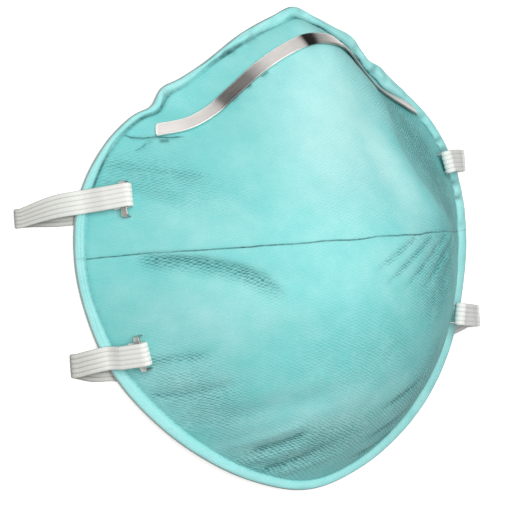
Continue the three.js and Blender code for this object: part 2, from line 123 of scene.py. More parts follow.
def rounding(gone: Array, radius: float) -> Array:
    """How far a rounded edge falls short at a distance from it, as a share of its radius."""
    return 1 - np.sqrt(np.clip(1 - (1 - np.minimum(gone / radius, 1)) ** 2, 0, 1))


def unit(v: Array) -> Array:
    """The vector, or each row, at length 1."""
    return v / np.maximum(np.linalg.norm(v, axis=-1, keepdims=True), 1e-12)


def uneven(x: Array, y: Array, waves: Sequence[tuple[float, float, int]]) -> Array:
    """Smooth unevenness of several sizes.

    Args:
        x: First coordinate.
        y: Second coordinate.
        waves: Height, size of one patch and seed of each size of unevenness.

    Returns:
        The height at each place.
    """
    level, size = np.zeros(np.broadcast(x, y).shape), 64
    for height, patch, seed in waves:
        heights = np.random.default_rng(seed).uniform(-1.0, 1.0, (size, size))
        u, v = np.asarray(x) / patch, np.asarray(y) / patch
        i, j = np.floor(u).astype(int), np.floor(v).astype(int)
        f, g = smooth_step(0, 1, u - i), smooth_step(0, 1, v - j)
        i, j, right, up = i % size, j % size, (i + 1) % size, (j + 1) % size
        low = heights[i, j] * (1 - f) + heights[right, j] * f
        high = heights[i, up] * (1 - f) + heights[right, up] * f
        level = level + height * (low * (1 - g) + high * g)
    return level


def gone_by(points: Array) -> Array:
    """Length gone by at each point of a line."""
    return np.concatenate([[0.0], np.cumsum(np.linalg.norm(np.diff(points, axis=0), axis=1))])


def heading(points: Array) -> Array:
    """Direction of a line at each of its points."""
    return unit(np.vstack([points[1:], points[-1:]]) - np.vstack([points[:1], points[:-1]]))


def square_to(wish: Array, forward: Array) -> Array:
    """The wished directions, turned square to each row of forward."""
    return unit(wish - forward * np.sum(wish * forward, axis=1, keepdims=True))


def near_path(path: Path, x: Array, y: Array) -> tuple[Array, Array]:
    """Where places lie beside a path.

    Args:
        path: Corners of the path.
        x: Places across.
        y: Places up.

    Returns:
        Distance from the path, positive on its left, and the share of its length gone by.
    """
    corners = np.array(path, dtype=float)
    gone = gone_by(corners)
    best = np.full(np.shape(x), np.inf)
    signed, share = np.zeros(np.shape(x)), np.zeros(np.shape(x))
    for k, step in enumerate(np.diff(gone)):
        d = (corners[k + 1] - corners[k]) / step
        ox, oy = x - corners[k][0], y - corners[k][1]
        along = np.clip(ox * d[0] + oy * d[1], 0.0, step)
        away = np.hypot(ox - along * d[0], oy - along * d[1])
        closer = away < best
        best = np.where(closer, away, best)
        signed = np.where(closer, away * np.where(d[0] * oy - d[1] * ox >= 0, 1.0, -1.0), signed)
        share = np.where(closer, (gone[k] + along) / gone[-1], share)
    return signed, share


def smooth_line(corners: Array, steps: int) -> Array:
    """A centripetal Catmull-Rom line through corners.

    Args:
        corners: Rows of any number of coordinates.
        steps: Pieces between one corner and the next.

    Returns:
        Rows along the line.
    """
    pts = np.asarray(corners, dtype=float)
    pts = np.vstack([2 * pts[0] - pts[1], pts, 2 * pts[-1] - pts[-2]])
    out = []
    for k in range(1, len(pts) - 2):
        p0, p1, p2, p3 = pts[k - 1 : k + 3]
        d0, d1, d2 = (max(np.sqrt(np.linalg.norm(b - a)), 1e-4) for a, b in ((p0, p1), (p1, p2), (p2, p3)))
        m1 = ((p1 - p0) / d0 - (p2 - p0) / (d0 + d1) + (p2 - p1) / d1) * d1
        m2 = ((p2 - p1) / d1 - (p3 - p1) / (d1 + d2) + (p3 - p2) / d2) * d1
        for t in np.arange(steps) / steps:
            square = (-3 * p1 + 3 * p2 - 2 * m1 - m2) * t * t
            out.append(p1 + m1 * t + square + (2 * p1 - 2 * p2 + m1 + m2) * t * t * t)
    return np.array(out + [pts[-2]])


def rounded(corners: Array, reach: float, steps: int) -> Array:
    """Round the corners of a line.

    Args:
        corners: Corner points of the line.
        reach: How far from a corner its rounding starts.
        steps: Pieces of each rounding.

    Returns:
        Points of the rounded line.
    """
    out = [corners[0]]
    for before, here, after in zip(corners, corners[1:], corners[2:]):
        first = here + unit(before - here) * min(reach, np.linalg.norm(before - here) * 0.49)
        last = here + unit(after - here) * min(reach, np.linalg.norm(after - here) * 0.49)
        for t in np.arange(steps + 1) / steps:
            out.append(first * (1 - t) ** 2 + here * 2 * t * (1 - t) + last * t * t)
    return np.array(out + [corners[-1]])


def spaced(rows: Array, pitch: float, count: int | None = None) -> Array:
    """Rows set out at even steps of their first three coordinates' length.

    Args:
        rows: Rows that begin with a point.
        pitch: Wished step.
        count: Number of rows, in place of the step.

    Returns:
        The rows read again at even steps.
    """
    gone = gone_by(rows[:, :3])
    at = np.linspace(0.0, gone[-1], count or max(2, int(round(gone[-1] / pitch)) + 1))
    return np.column_stack([np.interp(at, gone, rows[:, c]) for c in range(rows.shape[1])])


# ------------------------------------------------------------------ the cup's form


@dataclass(frozen=True)
class Ripple:
    """A ripple of the rim: where it is and how far it stands out and up."""

    angle: float
    width: float
    out: float
    lift: float


@dataclass(frozen=True)
class Swell:
    """A long swell or hollow of the front, by its middle, half sizes, turn and height."""

    x: float
    y: float
    along: float
    across: float
    turn: float
    height: float

    def at(self, x: Array, y: Array) -> Array:
        """Height that the swell adds.

        Args:
            x: Places across.
            y: Places up.

        Returns:
            The height at each place.
        """
        c, s = math.cos(math.radians(self.turn)), math.sin(math.radians(self.turn))
        along = ((x - self.x) * c + (y - self.y) * s) / self.along
        across = ((y - self.y) * c - (x - self.x) * s) / self.across
        return self.height * np.exp(-along * along - across * across)


@dataclass(frozen=True)
class Fold:
    """A fold or ridge of the cloth along a path, with its own slope on either side.

    It may be darkened with painted shade, show the bonding marks, drawn stronger there as partly painted
    shade, and have a fine dark line of painted shade in its bottom. Start and end are the shares of its
    length over which it fades.
    """

    path: Path
    height: float
    left: float
    right: float
    dark: float = 0.0
    marks: float = 0.0
    line: float = 0.0
    start: float = 0.16
    end: float = 0.3

    def fullness(self, x: Array, y: Array) -> Array:
        """How full the fold is.

        Args:
            x: Places across.
            y: Places up.

        Returns:
            A share from 0 to 1 at each place.
        """
        away, share = near_path(self.path, x, y)
        ends = smooth_step(0.0, self.start, share) * smooth_step(0.0, self.end, 1 - share)
        return bell(away, np.where(away > 0, self.left, self.right)) * ends

    def at(self, x: Array, y: Array) -> Array:
        """Height that the fold adds at each place."""
        return self.height * self.fullness(x, y)

    def fine_line(self, x: Array, y: Array) -> tuple[Array, Array]:
        """The fine line in the fold's bottom.

        Args:
            x: Places across.
            y: Places up.

        Returns:
            Signed distance from the line, and its darkness nearby.
        """
        away, share = near_path(self.path, x, y)
        ends = smooth_step(0.0, 0.12, share) * smooth_step(0.0, 0.12, 1 - share)
        return away, self.line * ends * (1 - smooth_step(1.0, 1.8, np.abs(away)))


@dataclass(frozen=True)
class Pinch:
    """A short crease across the flange, deepest at its inner side, with painted shade in it."""

    angle: float
    width: float
    depth: float
    dark: float

    def at(self, angle: Array, share: Array) -> Array:
        """Fullness of the pinch, from 0 to 1, at a share of the flange's width from its outer edge."""
        return bell(angle - self.angle, self.width) * smooth_step(-0.2, 0.9, share)


# The rim and the flange go by degrees from the nose; the arch over the face goes by the place up it.
RIM = Table(
    ("angle", "radius", "height"),
    (
        (0, 61.0, 18.0), (6, 59.0, 17.4), (15, 56.8, 15.8), (30, 53.9, 12.2), (45, 54.8, 8.7),
        (60, 58.0, 5.4), (75, 60.0, 3.3), (90, 60.0, 2.4), (105, 59.5, 2.4), (120, 59.8, 3.4),
        (135, 60.0, 5.6), (150, 60.8, 7.2), (165, 62.4, 8.2), (180, 64.0, 8.6),
    ),
)
FLANGE = Table(
    ("angle", "width"),
    (
        (-180, 2.3), (-135, 3.1), (-112, 3.2), (-98, 2.6), (-84, 2.8), (-71, 2.5), (-60, 1.8), (-50, 1.8),
        (-40, 2.3), (-26, 1.3), (-15, 2.2), (0, 2.8), (10, 2.3), (20, 3.0), (27, 2.4), (36, 3.9), (46, 3.0),
        (56, 2.7), (75, 3.0), (90, 3.3), (135, 3.1), (180, 2.3),
    ),
)
ARCH = Table(
    ("y", "foot", "fullness", "bulge"),
    (
        (-61.8, 8.9, 0.5, 14.6), (-50, 7.6, 0.675, 14.9), (-40, 6.0, 0.77, 14.6), (-28, 3.8, 0.838, 14.1),
        (-14, 2.9, 0.87, 13.6), (0, 2.85, 0.909, 13.3), (10, 3.2, 0.922, 12.85), (21, 4.6, 0.9, 11.95),
        (30, 6.6, 0.8, 11.4), (37, 9.2, 0.66, 11.0), (45, 12.9, 0.47, 10.7), (52, 16.2, 0.345, 10.7),
        (57.2, 18.5, 0.28, 10.8),
    ),
)
RIPPLES = (
    Ripple(27.5, 3.8, -0.75, 0.3), Ripple(20, 4.6, 0.9, 0.2), Ripple(33.5, 3.0, 0.45, 0.0),
    Ripple(-46, 3.0, -1.2, 0.3), Ripple(-40, 3.2, 0.9, 0.3), Ripple(-24, 9, -0.6, 0.0),
)
# The front's long shapes: the hollows beside the nose, the bridge, the cheeks and the two long ridges.
SHAPES = (
    Swell(36, 18, 26, 12.5, -62, -3.3), Swell(-37, 15, 25, 11, 62, -0.9), Swell(0, 47, 14, 10, 90, 1.6),
    Swell(-25, 39, 13, 8, 60, -1.6), Swell(24.5, 42, 12, 4.5, -38, -3.2), Swell(-34, -6, 20, 2.6, -12, -0.6),
    Swell(-30, -14, 20, 7, 0, 0.8), Swell(-22, -41, 16, 3, 12, -0.9), Swell(-16, 15, 9, 4, 15, -0.5),
    Fold(((0, 54), (7, 50.5), (14, 45.5), (20.2, 39.5), (18.2, 31), (16.8, 23), (18.8, 14.5), (25, 6.5),
          (33, 1), (42, -5)), 2.1, 2.8, 7.0, start=0.1, end=0.25),
    Fold(((-8, 50), (-18, 40), (-19, 30), (-19, 20), (-26, 8), (-36, 2)),
         0.5, 8.0, 5.0, start=0.25, end=0.25),
)
FOLDS = (
    # The long sagging fold under the seam, on the wearer's right.
    Fold(((-50, -0.8), (-44, -1.5), (-38.5, -2.7), (-35, -4.0), (-31.4, -5.6), (-27.9, -8), (-25.3, -10.6),
          (-22.5, -15)), -0.8, 1.3, 2.3, 0.25, 0.85, start=0.12),
    # Creases round the clip's right end.
    Fold(((-39.9, 28.4), (-38, 28.4)), -0.3, 0.5, 0.5, 0.95, start=0.05, end=0.05),
    Fold(((-46.8, 31), (-44.7, 29.9), (-42.5, 29.5), (-40.3, 29.6), (-37.6, 29.1), (-34.5, 28.9)),
         -0.3, 0.5, 0.6, 0.35, 0.2, 0.85),
    Fold(((-41.2, 29.3), (-43.3, 27.2), (-45.2, 26.1)), -0.2, 0.5, 0.5, 0.25, 0.0, 0.5),
    # Soft streaks over the right cheek, above and below the bands.
    Fold(((-52.5, 24.6), (-47, 22.6), (-42, 20.7), (-37.5, 19.5), (-31, 17.2)),
         -0.3, 1.4, 2.8, 0.12, 0.5, start=0.1),
    Fold(((-54, 20.4), (-48, 17.7), (-43, 15.2), (-37, 13)), -0.22, 1.2, 2.4, 0.1, 0.35, start=0.1),
    Fold(((-45, -34.8), (-41.5, -36), (-38.5, -35.9), (-34, -35), (-29, -33.5)), -0.35, 2.0, 1.0, 0.22, 0.6),
    Fold(((-50, -28.5), (-45, -27), (-40, -26.4), (-34, -26)), -0.25, 1.5, 1.5, 0.1, 0.6),
    # Puckers above the chin.
    Fold(((-22, -55.6), (-15, -53.6), (-7, -50)), 0.4, 1.1, 1.1),
    Fold(((-26, -50.6), (-19, -48), (-11, -44.5)), 0.35, 1.2, 1.2),
    Fold(((-12, -59), (-5, -57), (5, -53)), 0.35, 1.0, 1.0),
    Fold(((-21, -52.4), (-15, -50.2), (-9, -46.8)), -0.4, 1.2, 1.2, 0.35, 1.2),
    Fold(((-16, -58), (-8, -54.6), (-1, -50.6)), -0.4, 1.2, 1.2, 0.35, 1.2),
    # Streaks that fan out under the seam's left end.
    Fold(((43, -0.6), (34, -5), (26, -11), (19, -18)), -0.35, 0.8, 1.1, 0.2, 0.95, start=0.03, end=0.5),
    Fold(((34.5, -0.6), (26, -5.4), (18.5, -11), (11.5, -17.5)),
         -0.35, 0.8, 1.1, 0.2, 0.95, start=0.03, end=0.5),
    Fold(((27, -0.6), (19, -5.2), (12, -10), (5, -15.5)), -0.3, 0.8, 1.0, 0.14, 0.85, start=0.03, end=0.5),
    Fold(((20, -0.5), (12.5, -4.6), (6, -8.8), (-1, -13.5)), -0.22, 0.8, 1.0, 0.1, 0.75, start=0.03, end=0.5),
    Fold(((13, -0.4), (6, -4), (-4, -9.8)), -0.16, 0.8, 1.0, 0.06, 0.6, start=0.03, end=0.5),
    Fold(((39, -0.7), (30, -5.2), (22.5, -11)), 0.22, 0.8, 0.8, start=0.05, end=0.5),
    Fold(((31, -0.7), (22.5, -5.4), (15.5, -10)), 0.22, 0.8, 0.8, start=0.05, end=0.5),
    # Streaks at the chin's left.
    Fold(((25.5, -36.5), (14.5, -41.1), (5.8, -44.8)), -0.3, 1.1, 1.1, 0.25, 1.2, start=0.2, end=0.4),
    Fold(((31, -43), (15.5, -49.1), (5.8, -53.3)), -0.35, 1.1, 1.1, 0.3, 1.3, start=0.2, end=0.4),
    Fold(((29.4, -50.4), (15.7, -55.0), (4.3, -57.2)), -0.3, 1.0, 1.0, 0.25, 1.2, start=0.2, end=0.4),
    # Nicks along the foot beside the nose.
    Fold(((-21.5, 49.6), (-19.5, 50.0), (-16.5, 50.8)), -0.4, 0.6, 0.9, 0.5, 0.4),
    Fold(((-27, 45.8), (-24, 47.2)), -0.3, 0.6, 0.8, 0.35),
    Fold(((-14.5, 52.2), (-11, 53.4)), -0.3, 0.6, 0.8, 0.3),
    Fold(((11.5, 54.2), (14, 52.6), (15.5, 51.0)), -0.4, 0.7, 0.7, 0.5),
    Fold(((19, 48.6), (21.5, 46.4)), -0.35, 0.7, 0.7, 0.4),
    # Fine cuts under the clip's right half.
    Fold(((-22.6, 37.3), (-20.8, 38.6)), -0.3, 0.4, 0.4, 0.5, 0.0, 0.7),
    Fold(((-18.6, 40.2), (-17.2, 41.2)), -0.3, 0.4, 0.4, 0.7, 0.0, 0.9),
    Fold(((-14.8, 42.8), (-12.6, 44.2)), -0.3, 0.4, 0.4, 0.4, 0.0, 0.7),
)
# Where the bonding marks come out, stronger where the front is in shade, which is partly painted shade.
MARK_AND_SHADE_ZONES = (
    Swell(36, 17, 27, 10.5, -62, 1.3), Swell(26, -10, 15, 11, 60, 0.9), Swell(-34, -38, 15, 7, -45, 0.55),
    Swell(-6, -52, 24, 8, 15, 0.8), Swell(26, -40, 22, 10, 50, 0.9), Swell(-44, 19, 13, 6, -20, 0.4),
    Swell(4, -30, 26, 14, 0, 0.3), Swell(2, 12, 20, 16, 0, 0.08),
)
# Painted light: the cloth is drawn paler where the front should look brighter lit, most of all on the crown.
PAINTED_LIGHT_ZONES = (
    Swell(-2, 30, 26, 15, 70, 1.0), Swell(8, 22, 24, 7, -72, 0.9), Swell(-36, -16, 14, 10, 0, 0.45),
    Swell(-36, 6, 12, 8, 0, 0.3), Swell(-2, -8, 18, 9, 0, 0.3), Swell(-6, -48, 28, 12, 15, 0.6),
    Swell(-40, -34, 14, 9, -45, 0.5),
)
# Small gathers round the flange, and the crease along its inner edge. The gathers' dark numbers and the
# crease's dark column are painted shade in them.
PINCHES = (
    Pinch(63.5, 0.8, 0.5, 0.8), Pinch(67, 1.0, 0.45, 0.7), Pinch(76.5, 0.9, 0.5, 0.8),
    Pinch(80.5, 0.8, 0.5, 0.8), Pinch(88, 0.9, 0.2, 0.3), Pinch(22, 1.0, 0.4, 0.5), Pinch(31, 1.0, 0.4, 0.5),
    Pinch(-21, 1.2, 0.4, 0.5), Pinch(-13, 1.0, 0.3, 0.4), Pinch(-41, 1.2, 0.35, 0.4),
    Pinch(-89.8, 0.5, 0.15, 0.3), Pinch(55, 1.0, 0.3, 0.3),
)
FOOT_CREASE = Table(
    ("angle", "depth", "dark"),
    (
        (-180, 0.2, 0.1), (-140, 0.2, 0.15), (-122, 0.3, 0.35), (-110, 0.35, 0.45), (-90, 0.35, 0.4),
        (-76, 0.4, 0.3), (-70, 0.4, 0.85), (-64, 0.4, 0.85), (-60, 0.5, 0.4), (-52, 0.5, 0.75),
        (-45, 0.6, 0.8), (-38, 0.45, 0.5), (-30, 0.35, 0.3), (-20, 0.7, 0.9), (-14, 0.5, 0.6), (-8, 0.4, 0.6),
        (-4, 0.4, 0.3), (3, 0.8, 1.0), (20, 0.9, 1.0), (35, 0.9, 1.0), (50, 0.7, 0.9), (62, 0.4, 0.6),
        (90, 0.35, 0.6), (120, 0.25, 0.3), (180, 0.2, 0.1),
    ),
)


@dataclass
class CupForm:
    """The moulded cup's outer face as plain functions, in the cup's own millimetres."""

    nose_end: float = 57.2
    chin_end: float = -61.8
    middle_y: float = -3.0
    middle_half: float = 18.0
    foot_blend: float = 0.16
    flange_tilt: float = 8.0
    wall: float = 2.0
    flange_thickness: float = 1.0

    def rim(self, angle: Array) -> Array:
        """The flange's outer upper edge.

        Args:
            angle: Degrees from the nose, positive on the wearer's left.

        Returns:
            A point for each angle.
        """
        radius, height = (RIM.read(column, np.abs(angle)) for column in ("radius", "height"))
        for r in RIPPLES:
            amount = bell(angle - r.angle, r.width)
            radius, height = radius + r.out * amount, height + r.lift * amount
        turn = np.radians(angle)
        return np.stack([radius * np.sin(turn), radius * np.cos(turn), height], axis=-1)

    def foot(self, angle: Array) -> Array:
        """The flange's inner edge, where the wall starts.

        Args:
            angle: Degrees from the nose.

        Returns:
            A point for each angle.
        """
        width, tilt, rim = FLANGE.read("width", angle), math.radians(self.flange_tilt), self.rim(angle)
        scale, rise = 1 - width * math.cos(tilt) / np.hypot(rim[..., 0], rim[..., 1]), width * math.sin(tilt)
        return np.stack([rim[..., 0] * scale, rim[..., 1] * scale, rim[..., 2] + rise], axis=-1)

    def middle(self, angle: Array) -> Array:
        """Place up the middle line that each column of the wall runs to."""
        return self.middle_y + self.middle_half * np.cos(np.radians(angle))

    def height(self, x: Array, y: Array) -> Array:
        """Height of the outer face above the floor.

        Args:
            x: Places across.
            y: Places up.

        Returns:
            The height at each place.
        """
        arch = (self.nose_end - y) * (y - self.chin_end) - x * x / ARCH.read("fullness", y)
        level = ARCH.read("foot", y) + ARCH.read("bulge", y) / 1000 * arch
        return level + sum(shape.at(x, y) for shape in SHAPES)

    def normal(self, x: Array, y: Array) -> Array:
        """Outward direction of the outer face.

        Args:
            x: Places across.
            y: Places up.

        Returns:
            A unit vector for each place.
        """
        step = 0.3
        dx = (self.height(x + step, y) - self.height(x - step, y)) / (2 * step)
        dy = (self.height(x, y + step) - self.height(x, y - step)) / (2 * step)
        return unit(np.stack([-dx, -dy, np.ones_like(dx)], axis=-1))

    def place(self, x: float, y: float) -> tuple[Array, Array]:
        """Point and outward direction of the outer face above one place."""
        spot = (np.array(x, dtype=float), np.array(y, dtype=float))
        return np.array([x, y, float(self.height(*spot))]), self.normal(*spot)

    def outer(self, angle: Array, t: float) -> Array:
        """A ring of the outer face.

        Args:
            angle: Degrees from the nose.
            t: Share of the way from the wall's foot to the middle line.

        Returns:
            A point for each angle.
        """
        foot = self.foot(angle)
        x = foot[..., 0] * (1 - t)
        y = foot[..., 1] + (self.middle(angle) - foot[..., 1]) * t
        settle = np.maximum(0, 1 - t / self.foot_blend) ** 2
        z = self.height(x, y) + (foot[..., 2] - self.height(foot[..., 0], foot[..., 1])) * settle
        return np.stack([x, y, z], axis=-1)


FORM = CupForm()
CUP_MIDDLE_Y = -1.5
_low, _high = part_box("cup_body")
SHIFT = np.array([(_low[0] + _high[0]) / 2 / MM, (_low[1] + _high[1]) / 2 / MM - CUP_MIDDLE_Y, 0.0])


def to_frame(points: Array) -> Array:
    """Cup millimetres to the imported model's metres."""
    return (np.asarray(points) + SHIFT) * MM


# ------------------------------------------------------------------ meshes and nodes


def make_mesh(name: str, points: Array, faces: Sequence[Any], edges: Sequence[Any] = ()) -> bpy.types.Object:
    """Make a mesh object from points in metres.

    Args:
        name: Name of the object.
        points: Rows of x, y, z.
        faces: Corner numbers of each face.
        edges: Corner numbers of each loose edge.

    Returns:
        The new object, in the scene.
    """
    mesh = bpy.data.meshes.new(name)
    mesh.from_pydata(np.asarray(points).tolist(), list(edges), list(faces))
    mesh.update()
    thing = bpy.data.objects.new(name, mesh)
    bpy.context.scene.collection.objects.link(thing)
    return thing


def store(mesh: bpy.types.Mesh, name: str, values: Array) -> None:
    """Store values for a mesh's points under a name.

    Args:
        mesh: Mesh to add to.
        name: Name of the attribute.
        values: A number, or a row of three, for each point.
    """
    kind, key = ("FLOAT", "value") if np.ndim(values) == 1 else ("FLOAT_VECTOR", "vector")
    data = mesh.attributes.new(name, kind, "POINT").data
    data.foreach_set(key, np.asarray(values, dtype=np.float32).ravel())


def linear(code: str) -> tuple[float, float, float, float]:
    """Turn an sRGB colour to linear.

    Args:
        code: Hex code such as #FFFFFF.

    Returns:
        Red, green, blue and full opacity.
    """
    parts = [int(code[i : i + 2], 16) / 255 for i in (1, 3, 5)]
    r, g, b = (c / 12.92 if c <= 0.04045 else ((c + 0.055) / 1.055) ** 2.4 for c in parts)
    return (r, g, b, 1.0)


def add_node(tree: bpy.types.NodeTree, kind: str, *inputs: Any, out: int | str = 0, **named: Any) -> Any:
    """Add one node with its settings and links.

    Args:
        tree: Node tree to add to.
        kind: Node type, short of ShaderNode, with its operation after a dot where it has one.
        *inputs: Value of each input in turn, or the output that feeds it.
        out: Number or name of the output that is wanted.
        **named: Other inputs, whose names have a capital, and the node's own settings.

    Returns:
        The wanted output, or nothing from a node without outputs.
    """
    family, _, operation = kind.partition(".")
    node = tree.nodes.new(family if family.startswith(("Geometry", "NodeGroup")) else "ShaderNode" + family)
    if operation:
        node.operation = operation
    sockets: dict[int | str, Any] = dict(enumerate(inputs))
    for key, value in named.items():
        if key[0].isupper():
            sockets[key.replace("_", " ")] = value
        else:
            setattr(node, key, value)
    for key, value in sockets.items():
        if isinstance(value, bpy.types.NodeSocket):
            tree.links.new(value, node.inputs[key])
        else:
            node.inputs[key].default_value = value
    return node.outputs[out] if node.outputs else None


# ------------------------------------------------------------------ finishes

MIXED = {"data_type": "RGBA", "out": "Result"}
STRIP_FACTS = ("run", "lane", "painted_dark_and_wear")
FACTS = ("seam", "seam_dark", "foot", "foot_dark", "line", "line_dark", "crease", "marks_and_shade", "tone")


@dataclass(frozen=True)
class Finish:
    """What all finishes share: each one says what feeds its shader."""

    name: str

    def surface(self, node: NodeAdder) -> dict[str, Any]:
        """What is fed to or set on the shader, by input, from nodes that node adds."""
        raise NotImplementedError

    def make(self) -> bpy.types.Material:
        """Make the material.

        Returns:
            The new material.
        """
        material = bpy.data.materials.new(self.name)
        material.use_nodes = True
        material.node_tree.nodes.clear()
        node = partial(add_node, material.node_tree)
        node("OutputMaterial", node("BsdfPrincipled", **self.surface(node)))
        return material


@dataclass(frozen=True)
class NonwovenCloth(Finish):
    """Spunbonded polypropylene cloth, heat moulded into the cup's shell.

    The eye gets a soft matt teal with fine crossed bonding lines, and a thin dark line wherever it is
    welded or creased. The bonding lines are drawn stronger where the cloth turns away from the light or is
    pressed together, which is partly painted shade. The zones drawn paler are painted light, and the
    darkening in folds and creases, with the fine dark lines there, is painted shade. It reads the cup's own
    attributes, which are in millimetres.
    """

    name: str = "spunbond_polypropylene_teal"
    base: str = "#83D9D7"
    # The paler colour, mixed in by random mottle and by the painted light of the paler zones.
    pale_and_painted_light: str = "#B8EEEC"
    shade: str = "#3F8A8B"
    # Colour of the painted shade in folds and creases, and of the seam's dark line.
    seam_line_and_crease_shade: str = "#2C5C5E"
    bond_pitch: float = 0.74
    bond_turn: float = 24.0
    line_sharpness: float = 2.2
    line_share: float = 0.6
    cross_sharpness: float = 0.7
    cross_share: float = 0.75
    plain_marks: float = 0.045
    zone_marks: float = 0.9
    mark_shade: float = 1.15
    mark_depth: float = 0.9
    fibre_shade: float = 0.5
    fibre_depth: float = 0.35
    crease_shade: float = 0.8
    # How the bonding lines wander, by patch size, detail and shift.
    wander: tuple[tuple[float, float, float], ...] = ((8.0, 3.0, 2.2), (1.9, 1.0, 0.7))
    break_size: float = 1.1
    patch_size: float = 5.0
    mottle_size: float = 7.0
    # Real fibres are about 0.02 mm thick: these are as coarse as they need to be to show.
    fibre_size: float = 0.35
    bump_height: float = 0.16
    # The dark lines and their half widths: the foot's and the folds' lines are painted shade in their
    # creases, the seam's follows the welded seam.
    fine_lines: tuple[tuple[str, float], ...] = (("seam", 0.18), ("foot", 0.24), ("line", 0.18))

    def bonds(self, node: NodeAdder, place: Any, turn: float) -> Any:
        """Fine parallel bonding lines.

        Args:
            node: Adds a node.
            place: Place on the cloth.
            turn: How far the lines are turned, in degrees.

        Returns:
            From 0 between the lines to 1 on them.
        """
        up = math.radians(90 + turn)
        axis = (math.cos(up) / self.bond_pitch, math.sin(up) / self.bond_pitch, 0)
        along = node("VectorMath.DOT_PRODUCT", place, axis, out="Value")
        wave = node("Math.SINE", node("Math.MULTIPLY", along, 2 * math.pi))
        return node("Math.MULTIPLY_ADD", wave, 0.5, 0.5)

    def surface(self, node: NodeAdder) -> dict[str, Any]:
        """Crossed bonding lines over mottled, fibrous cloth, with painted light, painted shade and dark fine
        lines.

        Args:
            node: Adds a node to the material.

        Returns:
            The shader's inputs by name.
        """
        cloth = node("Attribute", attribute_name="cloth", out="Vector")
        fact = {name: node("Attribute", attribute_name=name, out="Fac") for name in FACTS}
        place = cloth
        for size, detail, shift in self.wander:
            push = node("TexNoise", Vector=cloth, Scale=1 / size, Detail=detail, out="Color")
            place = node("VectorMath.ADD", place, node("VectorMath.MULTIPLY", push, (shift, shift, 0)))
        one, two = (self.bonds(node, place, turn) for turn in (self.bond_turn, -self.bond_turn))
        crossings = node("Math.POWER", node("Math.MULTIPLY", one, two), self.cross_sharpness)
        lines = node("Math.POWER", node("Math.MAXIMUM", one, two), self.line_sharpness)
        crossings = node("Math.MULTIPLY", crossings, self.cross_share)
        lattice = node("Math.MULTIPLY_ADD", lines, self.line_share, crossings)
        broken = node("TexNoise", Vector=cloth, Scale=1 / self.break_size, Detail=2.0)
        patchy = node("TexNoise", Vector=cloth, Scale=1 / self.patch_size, Detail=2.0)
        patchy = node("Math.MULTIPLY_ADD", patchy, 1.4, -0.75)
        some = node("Math.MULTIPLY_ADD", broken, 1.8, patchy, use_clamp=True)
        # The marks are stronger in the shaded zones and folds: partly painted shade.
        strength = node("Math.MULTIPLY_ADD", fact["marks_and_shade"], self.zone_marks, self.plain_marks)
        marked = node("Math.MULTIPLY", node("Math.MULTIPLY", lattice, some), strength, use_clamp=True)

        fibre = node("TexNoise", Vector=cloth, Scale=1 / self.fibre_size, Detail=3.0, Roughness=0.7)
        cloud = node("TexNoise", Vector=cloth, Scale=1 / self.mottle_size, Detail=5.0, Roughness=0.6)
        # Random mottle plus the painted light of the paler zones.
        tone = node("Math.ADD", fact["tone"], node("Math.SUBTRACT", cloud, 0.46), use_clamp=True)
        ground = node("Mix", tone, A=linear(self.base), B=linear(self.pale_and_painted_light), **MIXED)
        fluff = node("Math.MULTIPLY_ADD", fibre, self.fibre_shade, -0.19, use_clamp=True)
        for amount in (fluff, node("Math.MULTIPLY", marked, self.mark_shade, use_clamp=True)):
            ground = node("Mix", amount, A=ground, B=linear(self.shade), **MIXED)

        # Painted shade in the folds, the pinches and the flange's pressed lines, then the dark fine lines.
        dark = node("Math.MULTIPLY", fact["crease"], self.crease_shade)
        for name, half in self.fine_lines:
            edge = node("MapRange", node("Math.ABSOLUTE", fact[name]), half * 0.3, half * 1.7, 1.0, 0.0,
                        interpolation_type="SMOOTHSTEP")
            dark = node("Math.MAXIMUM", dark, node("Math.MULTIPLY", edge, fact[f"{name}_dark"]))
        dark = node("Math.MULTIPLY", dark, node("Math.ADD", broken, 0.42), use_clamp=True)
        fibre = node("Math.MULTIPLY", fibre, self.fibre_depth)
        rise = node("Math.MULTIPLY_ADD", marked, -self.mark_depth, fibre)
        return {
            "Base Color": node("Mix", dark, A=ground, B=linear(self.seam_line_and_crease_shade), **MIXED),
            "Normal": node("Bump", Height=rise, Strength=0.8, Distance=self.bump_height * MM),
            "Roughness": 0.66,
            "Specular IOR Level": 0.3,
        }


@dataclass(frozen=True)
class FeltedEdge(Finish):
    """The layers of the shell where they are welded and die cut: the eye gets a thin grey, fuzzy line."""

    name: str = "die_cut_layered_edge"
    colour: str = "#B4CBC7"
    shade: str = "#8DA3A0"
    # Coarser than real fibres, so that the fuzz shows.
    fibre_size: float = 0.3846

    def surface(self, node: NodeAdder) -> dict[str, Any]:
        """Fuzzy fibres of two greys.

        Args:
            node: Adds a node to the material.

        Returns:
            The shader's inputs by name.
        """
        place = node("TexCoord", out="Object")
        fibre = node("TexNoise", Vector=place, Scale=1 / (self.fibre_size * MM), Detail=3.0)
        return {
            "Base Color": node("Mix", fibre, A=linear(self.colour), B=linear(self.shade), **MIXED),
            "Normal": node("Bump", Height=fibre, Strength=0.6, Distance=0.1 * MM),
            "Roughness": 0.9,
            "Specular IOR Level": 0.2,
        }


